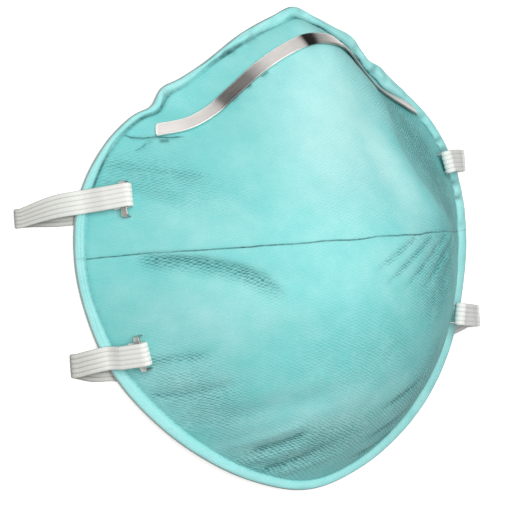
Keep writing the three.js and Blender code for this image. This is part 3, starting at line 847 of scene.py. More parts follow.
@dataclass(frozen=True)
class FaceLining(Finish):
    """Soft polyester fleece against the face: the eye gets an off-white with a faint fuzz."""

    name: str = "needled_polyester_lining"
    colour: str = "#EDF1EC"
    shade: str = "#C9D3CE"
    # Coarser than the fleece's real tufts, so that they show.
    tuft_size: float = 1.111
    cloud_size: float = 14.3

    def surface(self, node: NodeAdder) -> dict[str, Any]:
        """Fine tufts in soft clouds.

        Args:
            node: Adds a node to the material.

        Returns:
            The shader's inputs by name.
        """
        place = node("TexCoord", out="Object")
        tuft = node("TexNoise", Vector=place, Scale=1 / (self.tuft_size * MM), Detail=4.0, Roughness=0.65)
        cloud = node("TexNoise", Vector=place, Scale=1 / (self.cloud_size * MM), Detail=3.0)
        amount = node("Math.MULTIPLY", node("Math.ADD", tuft, cloud), 0.4, use_clamp=True)
        return {
            "Base Color": node("Mix", amount, A=linear(self.colour), B=linear(self.shade), **MIXED),
            "Normal": node("Bump", Height=tuft, Strength=0.7, Distance=0.15 * MM),
            "Roughness": 0.95,
            "Sheen Weight": 0.25,
        }


@dataclass(frozen=True)
class BraidedElastic(Finish):
    """Braided polyester elastic with five cords: the eye gets warm white ribs with fine slanting stitches.

    It reads the strap's own run, in metres, lane, from -1 to 1, and painted shade.
    """

    name: str = "braided_elastic_white"
    colour: str = "#F2F3EE"
    shade: str = "#8E8C86"
    ribs: int = 5
    stitch: float = 0.55
    # Coarser than the yarn's real fuzz, so that it shows.
    fuzz_size: float = 0.6667

    def surface(self, node: NodeAdder) -> dict[str, Any]:
        """Ribs with painted shade in their grooves, crossed by stitches that slant from rib to rib.

        Args:
            node: Adds a node to the material.

        Returns:
            The shader's inputs by name.
        """
        run, lane, painted_dark_and_wear = (node("Attribute", attribute_name=name, out="Fac") for name in STRIP_FACTS)
        rib = node("Math.ABSOLUTE", node("Math.COSINE", node("Math.MULTIPLY", lane, math.pi * self.ribs / 2)))
        slant = node("Math.PINGPONG", node("Math.MULTIPLY_ADD", lane, self.ribs / 2, 0.5), 1.0)
        turns = node("Math.MULTIPLY_ADD", run, 1 / (self.stitch * MM), slant)
        stitch = node("Math.SINE", node("Math.MULTIPLY", turns, 2 * math.pi))
        place = node("TexCoord", out="Object")
        fuzz = node("TexNoise", Vector=place, Scale=1 / (self.fuzz_size * MM), Detail=3.0)
        # Painted shade: the grooves between the ribs are darkened.
        groove = node("Math.POWER", node("Math.SUBTRACT", 1.0, rib), 2.5)
        dark = node("Math.MULTIPLY_ADD", stitch, 0.04, node("Math.MULTIPLY", groove, 0.4))
        dark = node("Math.MULTIPLY_ADD", fuzz, 0.14, node("Math.ADD", dark, painted_dark_and_wear), use_clamp=True)
        rise = node("Math.MULTIPLY_ADD", stitch, 0.3, node("Math.MULTIPLY", fuzz, 0.4))
        return {
            "Base Color": node("Mix", dark, A=linear(self.colour), B=linear(self.shade), **MIXED),
            "Normal": node("Bump", Height=rise, Strength=0.5, Distance=0.1 * MM),
            "Roughness": 0.85,
            "Sheen Weight": 0.2,
        }


@dataclass(frozen=True)
class RolledMetal(Finish):
    """Soft metal, rolled and bent: the eye gets satin metal with fine lengthwise streaks and random dark
    patches, and on the clip a painted dark reflection along its length. It reads the strip's run, lane and
    painted darkness.
    """

    name: str = "rolled_aluminium_strip"
    bright: str = "#FAF5F1"
    # Dark colour of the random streaks and of the clip's painted dark reflection.
    painted_dark_and_wear: str = "#3A3736"
    half_width: float = 1.85
    # Rolling marks are finer than this: they are as coarse as they need to be to show.
    streak_width: float = 0.12
    streak_length: float = 9.0
    patch_size: float = 6.25
    roughness: float = 0.34
    scuffed: float = 0.2

    def surface(self, node: NodeAdder) -> dict[str, Any]:
        """Streaked satin metal, worn in patches, with the clip's painted dark reflection.

        Args:
            node: Adds a node to the material.

        Returns:
            The shader's inputs by name.
        """
        run, lane, painted_dark_and_wear = (node("Attribute", attribute_name=name, out="Fac") for name in STRIP_FACTS)
        along = node("Math.MULTIPLY", run, 1 / (self.streak_length * MM))
        across = node("Math.MULTIPLY", lane, self.half_width / self.streak_width)
        place = node("CombineXYZ", along, across)
        streak = node("TexNoise", Vector=place, Scale=1.0, Detail=3.0, Roughness=0.6)
        spot = node("TexCoord", out="Object")
        patch = node("TexNoise", Vector=spot, Scale=1 / (self.patch_size * MM), Detail=4.0)
        streaks_and_painted_dark = node("Math.MULTIPLY_ADD", streak, 0.35, node("Math.MULTIPLY_ADD", patch, 0.3, -0.3))
        # The clip's painted dark reflection.
        streaks_and_painted_dark = node("Math.ADD", streaks_and_painted_dark, painted_dark_and_wear, use_clamp=True)
        return {
            "Base Color": node("Mix", streaks_and_painted_dark, A=linear(self.bright), B=linear(self.painted_dark_and_wear), **MIXED),
            "Roughness": node("MapRange", streaks_and_painted_dark, 0.0, 1.0, self.roughness + self.scuffed, self.roughness),
            "Normal": node("Bump", Height=streak, Strength=0.25, Distance=0.03 * MM),
            "Metallic": 1.0,
        }


# Thin galvanised steel wire, rolled flat: the eye gets a darker, glossier grey with short fine streaks.
STAPLE_WIRE = RolledMetal(
    "galvanised_flat_wire", "#B3B3AF", "#4E4E4C", streak_width=0.1, streak_length=3.0, roughness=0.3
)


@dataclass(frozen=True)
class PaleTable(Finish):
    """Matt white laminate under the cup: the eye gets a plain, nearly white ground."""

    name: str = "matt_white_laminate"
    colour: str = "#FBFBFA"
    glow: float = 0.5
    grain_size: float = 2.857

    def surface(self, node: NodeAdder) -> dict[str, Any]:
        """An even white whose gloss varies a little.

        Args:
            node: Adds a node to the material.

        Returns:
            The shader's inputs by name.
        """
        place = node("TexCoord", out="Object")
        grain = node("TexNoise", Vector=place, Scale=1 / (self.grain_size * MM), Detail=3.0)
        return {
            "Roughness": node("MapRange", grain, 0.0, 1.0, 0.86, 0.94),
            "Base Color": linear(self.colour),
            "Specular IOR Level": 0.1,
            "Emission Color": linear(self.colour),
            "Emission Strength": self.glow,
        }


# ------------------------------------------------------------------ strips that follow a line


@dataclass
class SweptStrip:
    """A flat strip with rounded edges and, if wished, lengthwise ribs, laid along a line by a node tree."""

    width: float
    thickness: float
    material: bpy.types.Material
    ribs: int = 0
    rib_depth: float = 0.0
    squareness: float = 6.0
    corners: int = 64

    def tree(self) -> bpy.types.NodeTree:
        """Build the node tree once; later strips use the same one.

        Returns:
            The tree, whose inputs are the strip's sizes.
        """
        tree = bpy.data.node_groups.get("swept_strip")
        if tree:
            return tree
        tree = bpy.data.node_groups.new("swept_strip", "GeometryNodeTree")
        node = partial(add_node, tree)
        inputs = {"Geometry": "Geometry", "Corners": "Int", "Material": "Material"}
        inputs.update(dict.fromkeys(("Width", "Thickness", "Ribs", "Rib Depth", "Squareness"), "Float"))
        for name, kind in inputs.items():
            tree.interface.new_socket(name, in_out="INPUT", socket_type=f"NodeSocket{kind}")
        tree.interface.new_socket("Geometry", in_out="OUTPUT", socket_type="NodeSocketGeometry")
        given = node("NodeGroupInput").node.outputs

        line = node("GeometryNodeMeshToCurve", given["Geometry"])
        across = node("GeometryNodeInputNamedAttribute", Name="across", data_type="FLOAT_VECTOR")
        swell = node("GeometryNodeInputNamedAttribute", Name="swell", data_type="FLOAT")
        line = node("GeometryNodeSetCurveNormal", Curve=line, Normal=across, mode="FREE")
        line = node("GeometryNodeSetCurveRadius", Curve=line, Radius=swell)
        stored = partial(node, "GeometryNodeStoreNamedAttribute", data_type="FLOAT", domain="POINT")
        line = stored(Geometry=line, Name="run", Value=node("GeometryNodeSplineParameter", out="Length"))

        # The section is a circle of radius 1, pressed to a flat shape with ribs on both faces.
        ring = node("GeometryNodeCurvePrimitiveCircle", Resolution=given["Corners"], Radius=1.0)
        parts = node("SeparateXYZ", node("GeometryNodeInputPosition")).node.outputs
        aside = node("Math.MINIMUM", node("Math.ABSOLUTE", parts["X"]), 1.0)
        reach = node("Math.POWER", aside, given["Squareness"])
        root = node("Math.DIVIDE", 1.0, given["Squareness"])
        fall = node("Math.POWER", node("Math.SUBTRACT", 1.0, reach, use_clamp=True), root)
        turn = node("Math.MULTIPLY", parts["X"], node("Math.MULTIPLY", given["Ribs"], math.pi / 2))
        rib = node("Math.MULTIPLY", node("Math.ABSOLUTE", node("Math.COSINE", turn)), given["Rib Depth"])
        half = node("Math.MULTIPLY", given["Thickness"], 0.5)
        level = node("Math.ADD", node("Math.SUBTRACT", half, given["Rib Depth"]), rib)
        high = node("Math.MULTIPLY", node("Math.MULTIPLY", fall, level), node("Math.SIGN", parts["Y"]))
        wide = node("Math.MULTIPLY", parts["X"], node("Math.MULTIPLY", given["Width"], 0.5))
        ring = stored(Geometry=ring, Name="lane", Value=parts["X"])
        ring = node("GeometryNodeSetPosition", Geometry=ring, Position=node("CombineXYZ", wide, high))

        sweep = {"Curve": line, "Profile Curve": ring, "Scale": swell, "Fill Caps": True}
        body = node("GeometryNodeCurveToMesh", **sweep)
        body = node("GeometryNodeSetShadeSmooth", Geometry=body, Shade_Smooth=True)
        body = node("GeometryNodeRealizeInstances", Geometry=body)
        body = node("GeometryNodeSetMaterial", Geometry=body, Material=given["Material"])
        node("NodeGroupOutput", body)
        return tree

    def lay(self, name: str, rows: Array, swell: Any = 1.0, painted_dark_and_wear: Any = 0.0) -> bpy.types.Object:
        """Lay the strip along a line and turn the result into a plain mesh.

        Args:
            name: Name of the piece.
            rows: Points in cup millimetres, each followed by its width direction.
            swell: Share of the full section, for all points or for each.
            painted_dark_and_wear: How much darker the strip is drawn, from 0 to 1, for all points or for
                each:
            painted shade on a strap, a painted dark reflection on the clip.

        Returns:
            The finished piece.
        """
        index = np.arange(len(rows))
        thing = make_mesh(name, to_frame(rows[:, :3]), [], np.column_stack([index[:-1], index[1:]]).tolist())
        store(thing.data, "across", rows[:, 3:6])
        store(thing.data, "swell", np.broadcast_to(swell, index.shape))
        store(thing.data, "painted_dark_and_wear", np.broadcast_to(painted_dark_and_wear, index.shape))
        modifier = thing.modifiers.new("strip", "NODES")
        modifier.node_group = self.tree()
        values = {
            "Width": self.width * MM, "Thickness": self.thickness * MM, "Ribs": float(self.ribs),
            "Rib Depth": self.rib_depth * MM, "Squareness": self.squareness, "Corners": self.corners,
            "Material": self.material,
        }
        for item in modifier.node_group.interface.items_tree:
            if item.in_out == "INPUT" and item.name in values:
                modifier[item.identifier] = values[item.name]
        return baked(thing)


def baked(thing: bpy.types.Object) -> bpy.types.Object:
    """Replace an object's mesh by what its modifiers make of it, and remove them.

    Args:
        thing: The object.

    Returns:
        The same object, with a plain mesh.
    """
    bpy.context.view_layer.update()
    seen = thing.evaluated_get(bpy.context.evaluated_depsgraph_get())
    mesh = bpy.data.meshes.new_from_object(seen)
    old = thing.data
    thing.modifiers.clear()
    thing.data = mesh
    mesh.name = thing.name
    bpy.data.meshes.remove(old)
    return thing


# ------------------------------------------------------------------ the cup


@dataclass
class Skin:
    """Rings of points round the cup, from its edge up the outer face, then down the edge and up the inside.

    Each ring has its places on the flat cloth, the finish of the faces that end on it, and its facts.
    """

    rings: list[Array] = field(default_factory=list)
    cloth: list[Array] = field(default_factory=list)
    layers: list[Layer] = field(default_factory=list)
    facts: list[dict[str, Any]] = field(default_factory=list)

    def add(self, points: Array, cloth: Array, layer: Layer, **facts: Any) -> None:
        """Add one ring.

        Args:
            points: Points of the ring.
            cloth: Their places on the flat cloth.
            layer: Finish of the faces that end on the ring.
            **facts: Numbers that the finish reads, by name.
        """
        self.rings.append(points)
        self.cloth.append(cloth)
        self.layers.append(layer)
        self.facts.append(facts)


@dataclass
class Cup:
    """The moulded shell with its welded flange, seam and folds, as one closed mesh."""

    form: CupForm
    around: int = 600
    flange_rings: int = 14
    wall_rings: int = 96
    edge_rings: int = 4
    inner_rings: int = 40
    seam_y: float = 0.2
    seam_depth: float = 0.22
    seam_width: float = 0.42
    # Unevenness, as heights, patch sizes and seeds.
    seam_waves: tuple[tuple[float, float, int], ...] = ((0.22, 6.5, 9), (0.1, 2.1, 10))
    seam_tones: tuple[tuple[float, float, int], ...] = ((0.3, 5.0, 12),)
    wall_waves: tuple[tuple[float, float, int], ...] = ((0.16, 11.0, 3), (0.07, 4.3, 5))
    flange_waves: tuple[tuple[float, float, int], ...] = ((1.0, 2.2, 21),)
    # Pressed lines round the flange, by their distance from its edge, depth and width.
    weld_lines: tuple[tuple[float, float, float], ...] = ((0.6, 0.12, 0.2), (1.35, 0.12, 0.3))
    # Where the columns crowd, by how much, at which angle and how widely.
    crowding: tuple[tuple[float, float, float], ...] = ((1.5, 85, 6.5), (0.5, 30, 30))
    wall_crowding: float = 1.12
    flange_crowding: float = 0.85
    inner_crowding: float = 1.1
    weld_plain: float = 0.15
    weld_angle: float = -95.0
    weld_spread: float = 28.0
    flange_bulge: float = 0.42
    crumple: float = 0.14
    nose_crumple: float = 0.42
    foot_crease: float = 0.5
    edge_round: float = 0.32
    edge_strip: float = 0.14
    edge_bulge: float = 0.12
    drawn: float = 0.09
    drawn_radius: float = 60.0

    def __post_init__(self) -> None:
        """Work out what all the rings share."""
        form, self.angle = self.form, self.columns()
        self.rim, self.foot = form.rim(self.angle), form.foot(self.angle)
        self.span = np.linalg.norm(self.foot - self.rim, axis=1)
        self.outward = unit(self.rim * (1, 1, 0))
        self.middle = np.column_stack([np.zeros(self.around), form.middle(self.angle)])
        self.foot_dark = FOOT_CREASE.read("dark", self.angle)
        stages = (np.arange(self.wall_rings + 1) / self.wall_rings) ** self.wall_crowding
        self.wall = np.array([form.outer(self.angle, t) for t in stages])
        steps = np.linalg.norm(np.diff(self.wall, axis=0), axis=2)
        self.gone = np.concatenate([np.zeros((1, self.around)), np.cumsum(steps, axis=0)])

    def columns(self) -> Array:
        """Set out the columns, closer together where the seam ends and beside the nose.

        Returns:
            Angles from the chin round to the chin.
        """
        fine = np.linspace(0, 180, 4001)
        density = 1 + sum(more * bell(fine - angle, width) for more, angle, width in self.crowding)
        gone = np.concatenate([[0.0], np.cumsum((density[1:] + density[:-1]) / 2)])
        side = np.interp(np.linspace(0, gone[-1], self.around // 2 + 1), gone, fine)
        return np.concatenate([side[::-1], -side[1:-1]])

    def on_cloth(self, left: Array) -> Array:
        """Places on the cloth, drawn thinner outwards, by the length from the middle line."""
        flat = self.middle + unit(self.foot[:, :2] - self.middle) * left[:, None]
        return flat * (1 - self.drawn * np.sum((flat / self.drawn_radius) ** 2, axis=1, keepdims=True))

    def seam(self, x: Array) -> Array:
        """How far up the face the welded seam runs at x."""
        return self.seam_y + uneven(x, 0, self.seam_waves)

    def welded(self) -> Array:
        """How plainly the flange's weld lines show at each column, from 0 to 1."""
        return self.weld_plain + (1 - self.weld_plain) * bell(self.angle - self.weld_angle, self.weld_spread)

    def relief(self, x: Array, y: Array, gone: Array) -> Array:
        """Folds and unevenness that stand out from the smooth face.

        Args:
            x: Places across.
            y: Places up.
            gone: Length of cloth from the foot.

        Returns:
            Height over the smooth face, in millimetres.
        """
        level = uneven(x, y, self.wall_waves) + sum(fold.at(x, y) for fold in FOLDS)
        level = level - self.seam_depth * bell(y - self.seam(x), self.seam_width)
        foot = FOOT_CREASE.read("depth", self.angle) * bell(gone, self.foot_crease)
        return level * smooth_step(0, 3, gone) - foot

    def flange_relief(self, gone: Array) -> Array:
        """How the flange stands out from a flat one.

        Args:
            gone: Distance of each column's point from the outer edge.

        Returns:
            Height over the flat flange, in millimetres.
        """
        share, angle = gone / self.span, self.angle
        crumple = self.crumple + self.nose_crumple * bell(angle, 50)
        level = self.flange_bulge * np.sin(np.pi * np.clip(share, 0, 1)) ** 0.8
        level = level + crumple * uneven(angle * 0.95, gone, self.flange_waves)
        level = level * smooth_step(0, 0.35, gone) - self.edge_round * rounding(gone, self.edge_round)
        for at, depth, wide in self.weld_lines:
            level = level - depth * bell(gone - at, wide) * self.welded()
        level = level - sum(pinch.depth * pinch.at(angle, share) for pinch in PINCHES)
        return level - FOOT_CREASE.read("depth", angle) * bell(gone - self.span, self.foot_crease)

    def looks(self, x: Array, y: Array) -> dict[str, Array]:
        """What the cloth's finish reads on the outer face.

        Args:
            x: Places across.
            y: Places up.

        Returns:
            Numbers for each place, by the name of the attribute.
        """
        fullness = [fold.fullness(x, y) for fold in FOLDS]
        marks = [zone.at(x, y) for zone in MARK_AND_SHADE_ZONES] + [f.marks * full for f, full in zip(FOLDS, fullness)]
        line, line_dark = np.full_like(x, 9.0), np.zeros_like(x)
        for fold in FOLDS:
            near, dark = fold.fine_line(x, y)
            line, line_dark = np.where(dark > line_dark, near, line), np.maximum(dark, line_dark)
        return {
            "seam": y - self.seam(x),
            "seam_dark": 0.72 + uneven(x, 0, self.seam_tones),
            "line": line,
            "line_dark": line_dark,
            "crease": np.max([f.dark * full for f, full in zip(FOLDS, fullness)], axis=0),
            "marks_and_shade": np.max(marks, axis=0),
            "tone": np.max([zone.at(x, y) for zone in PAINTED_LIGHT_ZONES], axis=0),
        }

    def build(self) -> bpy.types.Object:
        """Build the closed shell with what its finishes read.

        Returns:
            The cup, without its finishes.
        """
        skin = Skin()
        self.add_flange(skin)
        for base, gone in zip(self.wall, self.gone):
            x, y = base[:, 0], base[:, 1]
            points = base + self.form.normal(x, y) * self.relief(x, y, gone)[:, None]
            skin.add(points, self.on_cloth(self.gone[-1] - gone), Layer.CLOTH, foot=gone,
                     foot_dark=self.foot_dark, **self.looks(x, y))
        self.add_inside(skin)
        return self.close(skin)

    def add_flange(self, skin: Skin) -> None:
        """Add the flange's rings, from its outer edge to the wall's foot.

        Args:
            skin: The rings so far.
        """
        across = unit(self.foot - self.rim)
        tilt = math.radians(self.form.flange_tilt)
        up = self.outward * math.sin(tilt) + np.array([0, 0, math.cos(tilt)])
        for k in range(self.flange_rings):
            share = (max(k - 1, 0) / (self.flange_rings - 1)) ** self.flange_crowding
            gone = (self.edge_strip + (self.span - self.edge_strip) * share) * (k > 0)
            points = self.rim + across * gone[:, None] + up * self.flange_relief(gone)[:, None]
            # Painted shade along the pressed weld lines and in the pinches.
            welds = sum(0.3 * bell(gone - at, wide * 0.6) for at, _, wide in self.weld_lines) * self.welded()
            pinches = [pinch.dark * pinch.at(self.angle, gone / self.span) for pinch in PINCHES]
            layer = Layer.EDGE if k == 1 else Layer.CLOTH
            skin.add(points, self.on_cloth(self.gone[-1] + self.span - gone), layer,
                     seam=points[:, 1] - self.seam(points[:, 0]), seam_dark=0.25, foot=gone - self.span,
                     foot_dark=self.foot_dark, crease=np.max([welds, *pinches], axis=0), tone=0.55)

    def add_inside(self, skin: Skin) -> None:
        """Add the rings down the welded edge, and then those up the inner face.

        Args:
            skin: The rings so far.
        """
        form = self.form
        for share in np.arange(1, self.edge_rings + 1) / self.edge_rings:
            drop = np.array([0, 0, (form.flange_thickness - self.edge_round) * share])
            bulge = self.outward * (self.edge_bulge * math.sin(math.pi * share))
            skin.add(skin.rings[0] + bulge - drop, skin.cloth[0], Layer.EDGE)
        for k in range(self.inner_rings + 1):
            t = (k / self.inner_rings) ** self.inner_crowding
            base = form.outer(self.angle, t)
            points = base - form.normal(base[:, 0], base[:, 1]) * form.wall
            if k == 0:
                points[:, 2] = self.foot[:, 2] - form.flange_thickness
            skin.add(points, self.on_cloth(self.gone[-1] * (1 - t)), Layer.LINING)

    def close(self, skin: Skin) -> bpy.types.Object:
        """Join the rings into one closed mesh.

        Args:
            skin: All rings.

        Returns:
            The cup, without its finishes.
        """
        count, top = self.around, self.flange_rings + self.wall_rings
        i = np.arange(count)
        j = (i + 1) % count
        number = np.arange(len(skin.rings) * count)
        for last in (top, len(skin.rings) - 1):
            number[last * count : (last + 1) * count] = last * count + np.minimum(i, -i % count)
        kept, packed = np.unique(number, return_inverse=True)
        faces, slots = [], []
        pairs = [(k, k + 1) for k in range(len(skin.rings) - 1)]
        pairs[top] = (0, top + 1)
        for first, second in pairs:
            quad = np.repeat([first, second], 2)[None, :] * count + np.column_stack([i, j, j, i])
            quad = packed[quad[:, ::-1] if second > top else quad]
            faces.extend(list(dict.fromkeys(corners)) for corners in quad.tolist())
            slots.extend([int(skin.layers[second])] * count)
        cup = make_mesh("moulded_cup", to_frame(np.concatenate(skin.rings)[kept]), faces)
        cup.data.polygons.foreach_set("material_index", slots)
        cup.data.polygons.foreach_set("use_smooth", [True] * len(slots))
        store(cup.data, "cloth", np.pad(np.concatenate(skin.cloth)[kept], ((0, 0), (0, 1))))
        for name in FACTS:
            rows = [np.broadcast_to(facts.get(name, 0.0), (count,)) for facts in skin.facts]
            store(cup.data, name, np.concatenate(rows)[kept])
        return cup

    def dress(self, cup: bpy.types.Object) -> None:
        """Give the cup its finishes, in the order of the layers."""
        for finish in (NonwovenCloth(), FeltedEdge(), FaceLining()):
            cup.data.materials.append(finish.make())


# ------------------------------------------------------------------ headbands and staples


@dataclass(frozen=True)
class BandPlan:
    """Where one headband lies, seen from the front, in cup millimetres."""

    name: str
    right_fold: tuple[float, float]
    right_loop: tuple[float, float]
    left_fold: tuple[float, float]
    left_loop: tuple[float, float]
    return_middle: tuple[float, float]
    return_drop: tuple[float, float]
    staple_shift: float
    bow: float
    gather: float


UPPER = BandPlan(
    "upper", right_fold=(-48.3, 14.9), right_loop=(-74.3, 11.3), left_fold=(47.2, 18.6),
    left_loop=(57.7, 19.4), return_middle=(-8, 15.6), return_drop=(0.4, 0),
    staple_shift=-0.7, bow=1.1, gather=0.2,
)
LOWER = BandPlan(
    "lower", right_fold=(-46, -24.2), right_loop=(-61.7, -26.5), left_fold=(46.5, -21.6),
    left_loop=(58.8, -23.2), return_middle=(-2, -50), return_drop=(-2.4, -2.8),
    staple_shift=0, bow=0.2, gather=0,
)


@dataclass
class BandSeat:
    """One end of a headband on the cup: where it is stapled and the directions there."""

    form: CupForm
    plan: BandPlan
    side: Side
    levelling: float = 0.4

    def __post_init__(self) -> None:
        """Pick this side's places out of the plan."""
        right = self.side is Side.RIGHT
        self.fold = self.plan.right_fold if right else self.plan.left_fold
        self.loop = self.plan.right_loop if right else self.plan.left_loop

    def level(self, x: float) -> float:
        """Height up the face of the band's middle line at x."""
        (fx, fy), (lx, ly) = self.fold, self.loop
        return fy + (ly - fy) * (x - fx) / (lx - fx)

    def frame(self, x: float) -> tuple[Array, Array, Array, Array]:
        """How the band lies on the cup.

        Args:
            x: Place across.

        Returns:
            Its point, width direction, upward direction and outward run.
        """
        step = 0.5 * self.side.value
        (behind, _), (point, normal), (ahead, _) = (
            self.form.place(at, self.level(at)) for at in (x - step, x, x + step)
        )
        forward = unit(ahead - behind)
        across = unit(np.cross(normal, forward))
        across = across * np.sign(across[1])
        across = across + (UPRIGHT - across) * self.levelling
        across = unit(across - forward * across.dot(forward))
        up = unit(np.cross(forward, across))
        return point, across, up * np.sign(up.dot(normal)), forward


@dataclass
class Headband:
    """An elastic strap stapled at both ends: each end folds over its staple and runs out under the rim."""

    form: CupForm
    plan: BandPlan
    width: float = 6.0
    thickness: float = 1.0
    clearance: float = 0.3
    standoff: float = 0.5
    wire: float = 0.5
    tail: float = 4.6
    leave: float = 6.5
    rim_reach: float = 9.0
    foot_inset: float = 1.4
    lie_steps: int = 12
    edge_inset: float = 0.4
    edge_lift: float = 1.25
    edge_bow: float = 0.8
    bow_place: float = 0.55
    bow_rise: float = 0.3
    tight_lift: float = 1.6
    loose_reach: float = 1.3
    loose_lift: float = 3.2
    loose_rise: float = 0.7
    lay_steps: int = 3
    bend_steps: int = 8
    hidden_steps: int = 7
    first_bend: float = 5.0
    right_bend: float = 14.0
    left_bend: float = 12.0
    bend_share: float = 0.6
    pitch: float = 0.4
    rib_depth: float = 0.11
    gather_reach: float = 7.0
    # Painted shade: how much greyer the far loop and the layers close to the table are drawn.
    far_loop_shade: float = 0.5
    under_shade: float = 0.3

    def __post_init__(self) -> None:
        """Stack the layers over the cup: the tail, the staple's crown and the upper layer."""
        self.flat = self.thickness / 2
        self.tail_lift = self.clearance + self.standoff + self.flat
        self.crown_lift = self.tail_lift + self.flat + self.clearance + self.wire / 2
        self.upper_lift = self.crown_lift + self.wire / 2 + self.clearance + self.flat

    def half_turn(self, start: Array, end: Array, outward: Array) -> list[Array]:
        """Bend the strap round between two layers.

        Args:
            start: Where the bend starts.
            end: Where it ends.
            outward: Which way it bulges.

        Returns:
            Points of a half circle, without its ends.
        """
        middle, arm = (start + end) / 2, (start - end) / 2
        bulge = outward * np.linalg.norm(arm)
        turns = [math.pi * i / self.bend_steps for i in range(1, self.bend_steps)]
        return [middle + arm * math.cos(t) + bulge * math.sin(t) for t in turns]

    def end(self, side: Side) -> list[tuple[Array, Array]]:
        """Places of one end from the tail out to the fold on the table; the right one is pressed flat.

        Args:
            side: Which end.

        Returns:
            Points with their width directions.
        """
        seat, out = BandSeat(self.form, self.plan, side), side.value
        past = seat.fold[0] + out * self.rim_reach
        angle = np.array(math.degrees(math.atan2(past, seat.level(past))))
        foot, rim = self.form.foot(angle), self.form.rim(angle)
        last = foot[0] - out * self.foot_inset
        frames = [seat.frame(x) for x in np.linspace(seat.fold[0], last, self.lie_steps + 1)]
        gone = gone_by(np.array([point for point, *_ in frames]))
        lower = [(p + up * self.tail_lift, a) for (p, a, up, _), g in zip(frames, gone) if g <= self.tail]
        upper = [(p + up * self.upper_lift, a) for (p, a, up, _), g in zip(frames, gone) if g < self.leave]
        turn = [(p, upper[0][1]) for p in self.half_turn(lower[0][0], upper[0][0], -frames[0][3])]
        low = np.array([*seat.loop, self.flat])
        if side is Side.RIGHT:
            top = low + (0, 0, self.tight_lift)
            edge = np.array([rim[0], seat.level(float(rim[0])), rim[2]])
            edge = edge + (-out * self.edge_inset, 0, self.edge_lift)
            middle = top + (edge - top) * self.bow_place + (0, self.plan.bow, self.bow_rise)
            bowed = edge + (0, self.plan.bow * self.edge_bow, 0)
            laid = upper + [(bowed, UPRIGHT), (middle, UPRIGHT), (top, UPRIGHT)]
        else:
            top = low + (out * self.loose_reach, 0, self.loose_lift)
            point, across = upper[1]
            middle = (point + top) / 2 + (0, 0, self.loose_rise)
            laid = upper[:2] + [(middle, (across + UPRIGHT) / 2), (top, UPRIGHT)]
        points = smooth_line(np.array([p for p, _ in laid]), self.lay_steps)
        index, at = np.arange(len(laid)), np.arange(len(points)) / self.lay_steps
        across = np.column_stack([np.interp(at, index, column) for column in zip(*(a for _, a in laid))])
        bend = [(p, UPRIGHT) for p in self.half_turn(top, low, np.array([out, 0.0, 0.0]))]
        return lower[::-1] + turn + list(zip(points, across))[1:] + bend

    def rows(self) -> Array:
        """Lay the whole band out, from the wearer's right end to the left.

        Returns:
            Points, each followed by its width direction.
        """
        plan = self.plan
        (rx, ry), (lx, ly), (right_drop, left_drop) = plan.right_loop, plan.left_loop, plan.return_drop
        corners = [
            (rx, ry),
            (rx + self.first_bend, ry + right_drop * self.bend_share),
            (rx + self.right_bend, ry + right_drop),
            plan.return_middle,
            (lx - self.left_bend, ly + left_drop),
            (lx - self.first_bend, ly + left_drop * self.bend_share),
            (lx, ly),
        ]
        hidden = smooth_line(np.array([(x, y, self.flat) for x, y in corners]), self.hidden_steps)
        places = self.end(Side.RIGHT) + [(p, UPRIGHT) for p in hidden] + self.end(Side.LEFT)[::-1]
        points, wish = (np.array(column) for column in zip(*places))
        index = np.arange(len(points))
        wish = sum(wish[np.clip(index + k, 0, len(points) - 1)] for k in range(-2, 3))
        rows = np.column_stack([points, square_to(wish, heading(points))])
        return spaced(smooth_line(rows, 4), self.pitch)

    def build(self, material: bpy.types.Material) -> bpy.types.Object:
        """Build the strap.

        Args:
            material: Its finish.

        Returns:
            The strap.
        """
        rows = self.rows()
        loop, clear = self.plan.right_loop[0], self.plan.right_fold[0] - self.width / 2
        swell = 1 - self.plan.gather * bell(rows[:, 0] - loop, self.gather_reach)
        # Painted shade: the loop beyond the fold and the layers close to the table are drawn greyer.
        far = smooth_step(0, 1, (clear - rows[:, 0]) / (clear - loop))
        under = 1 - smooth_step(0.8, 1.6, rows[:, 2])
        painted_dark_and_wear = np.clip(self.far_loop_shade * far + self.under_shade * under, 0, 1)
        ribs = BraidedElastic().ribs
        strip = SweptStrip(self.width, self.thickness, material, ribs, self.rib_depth, 5.0, 84)
        return strip.lay(f"strap_{self.plan.name}", rows, swell, painted_dark_and_wear)


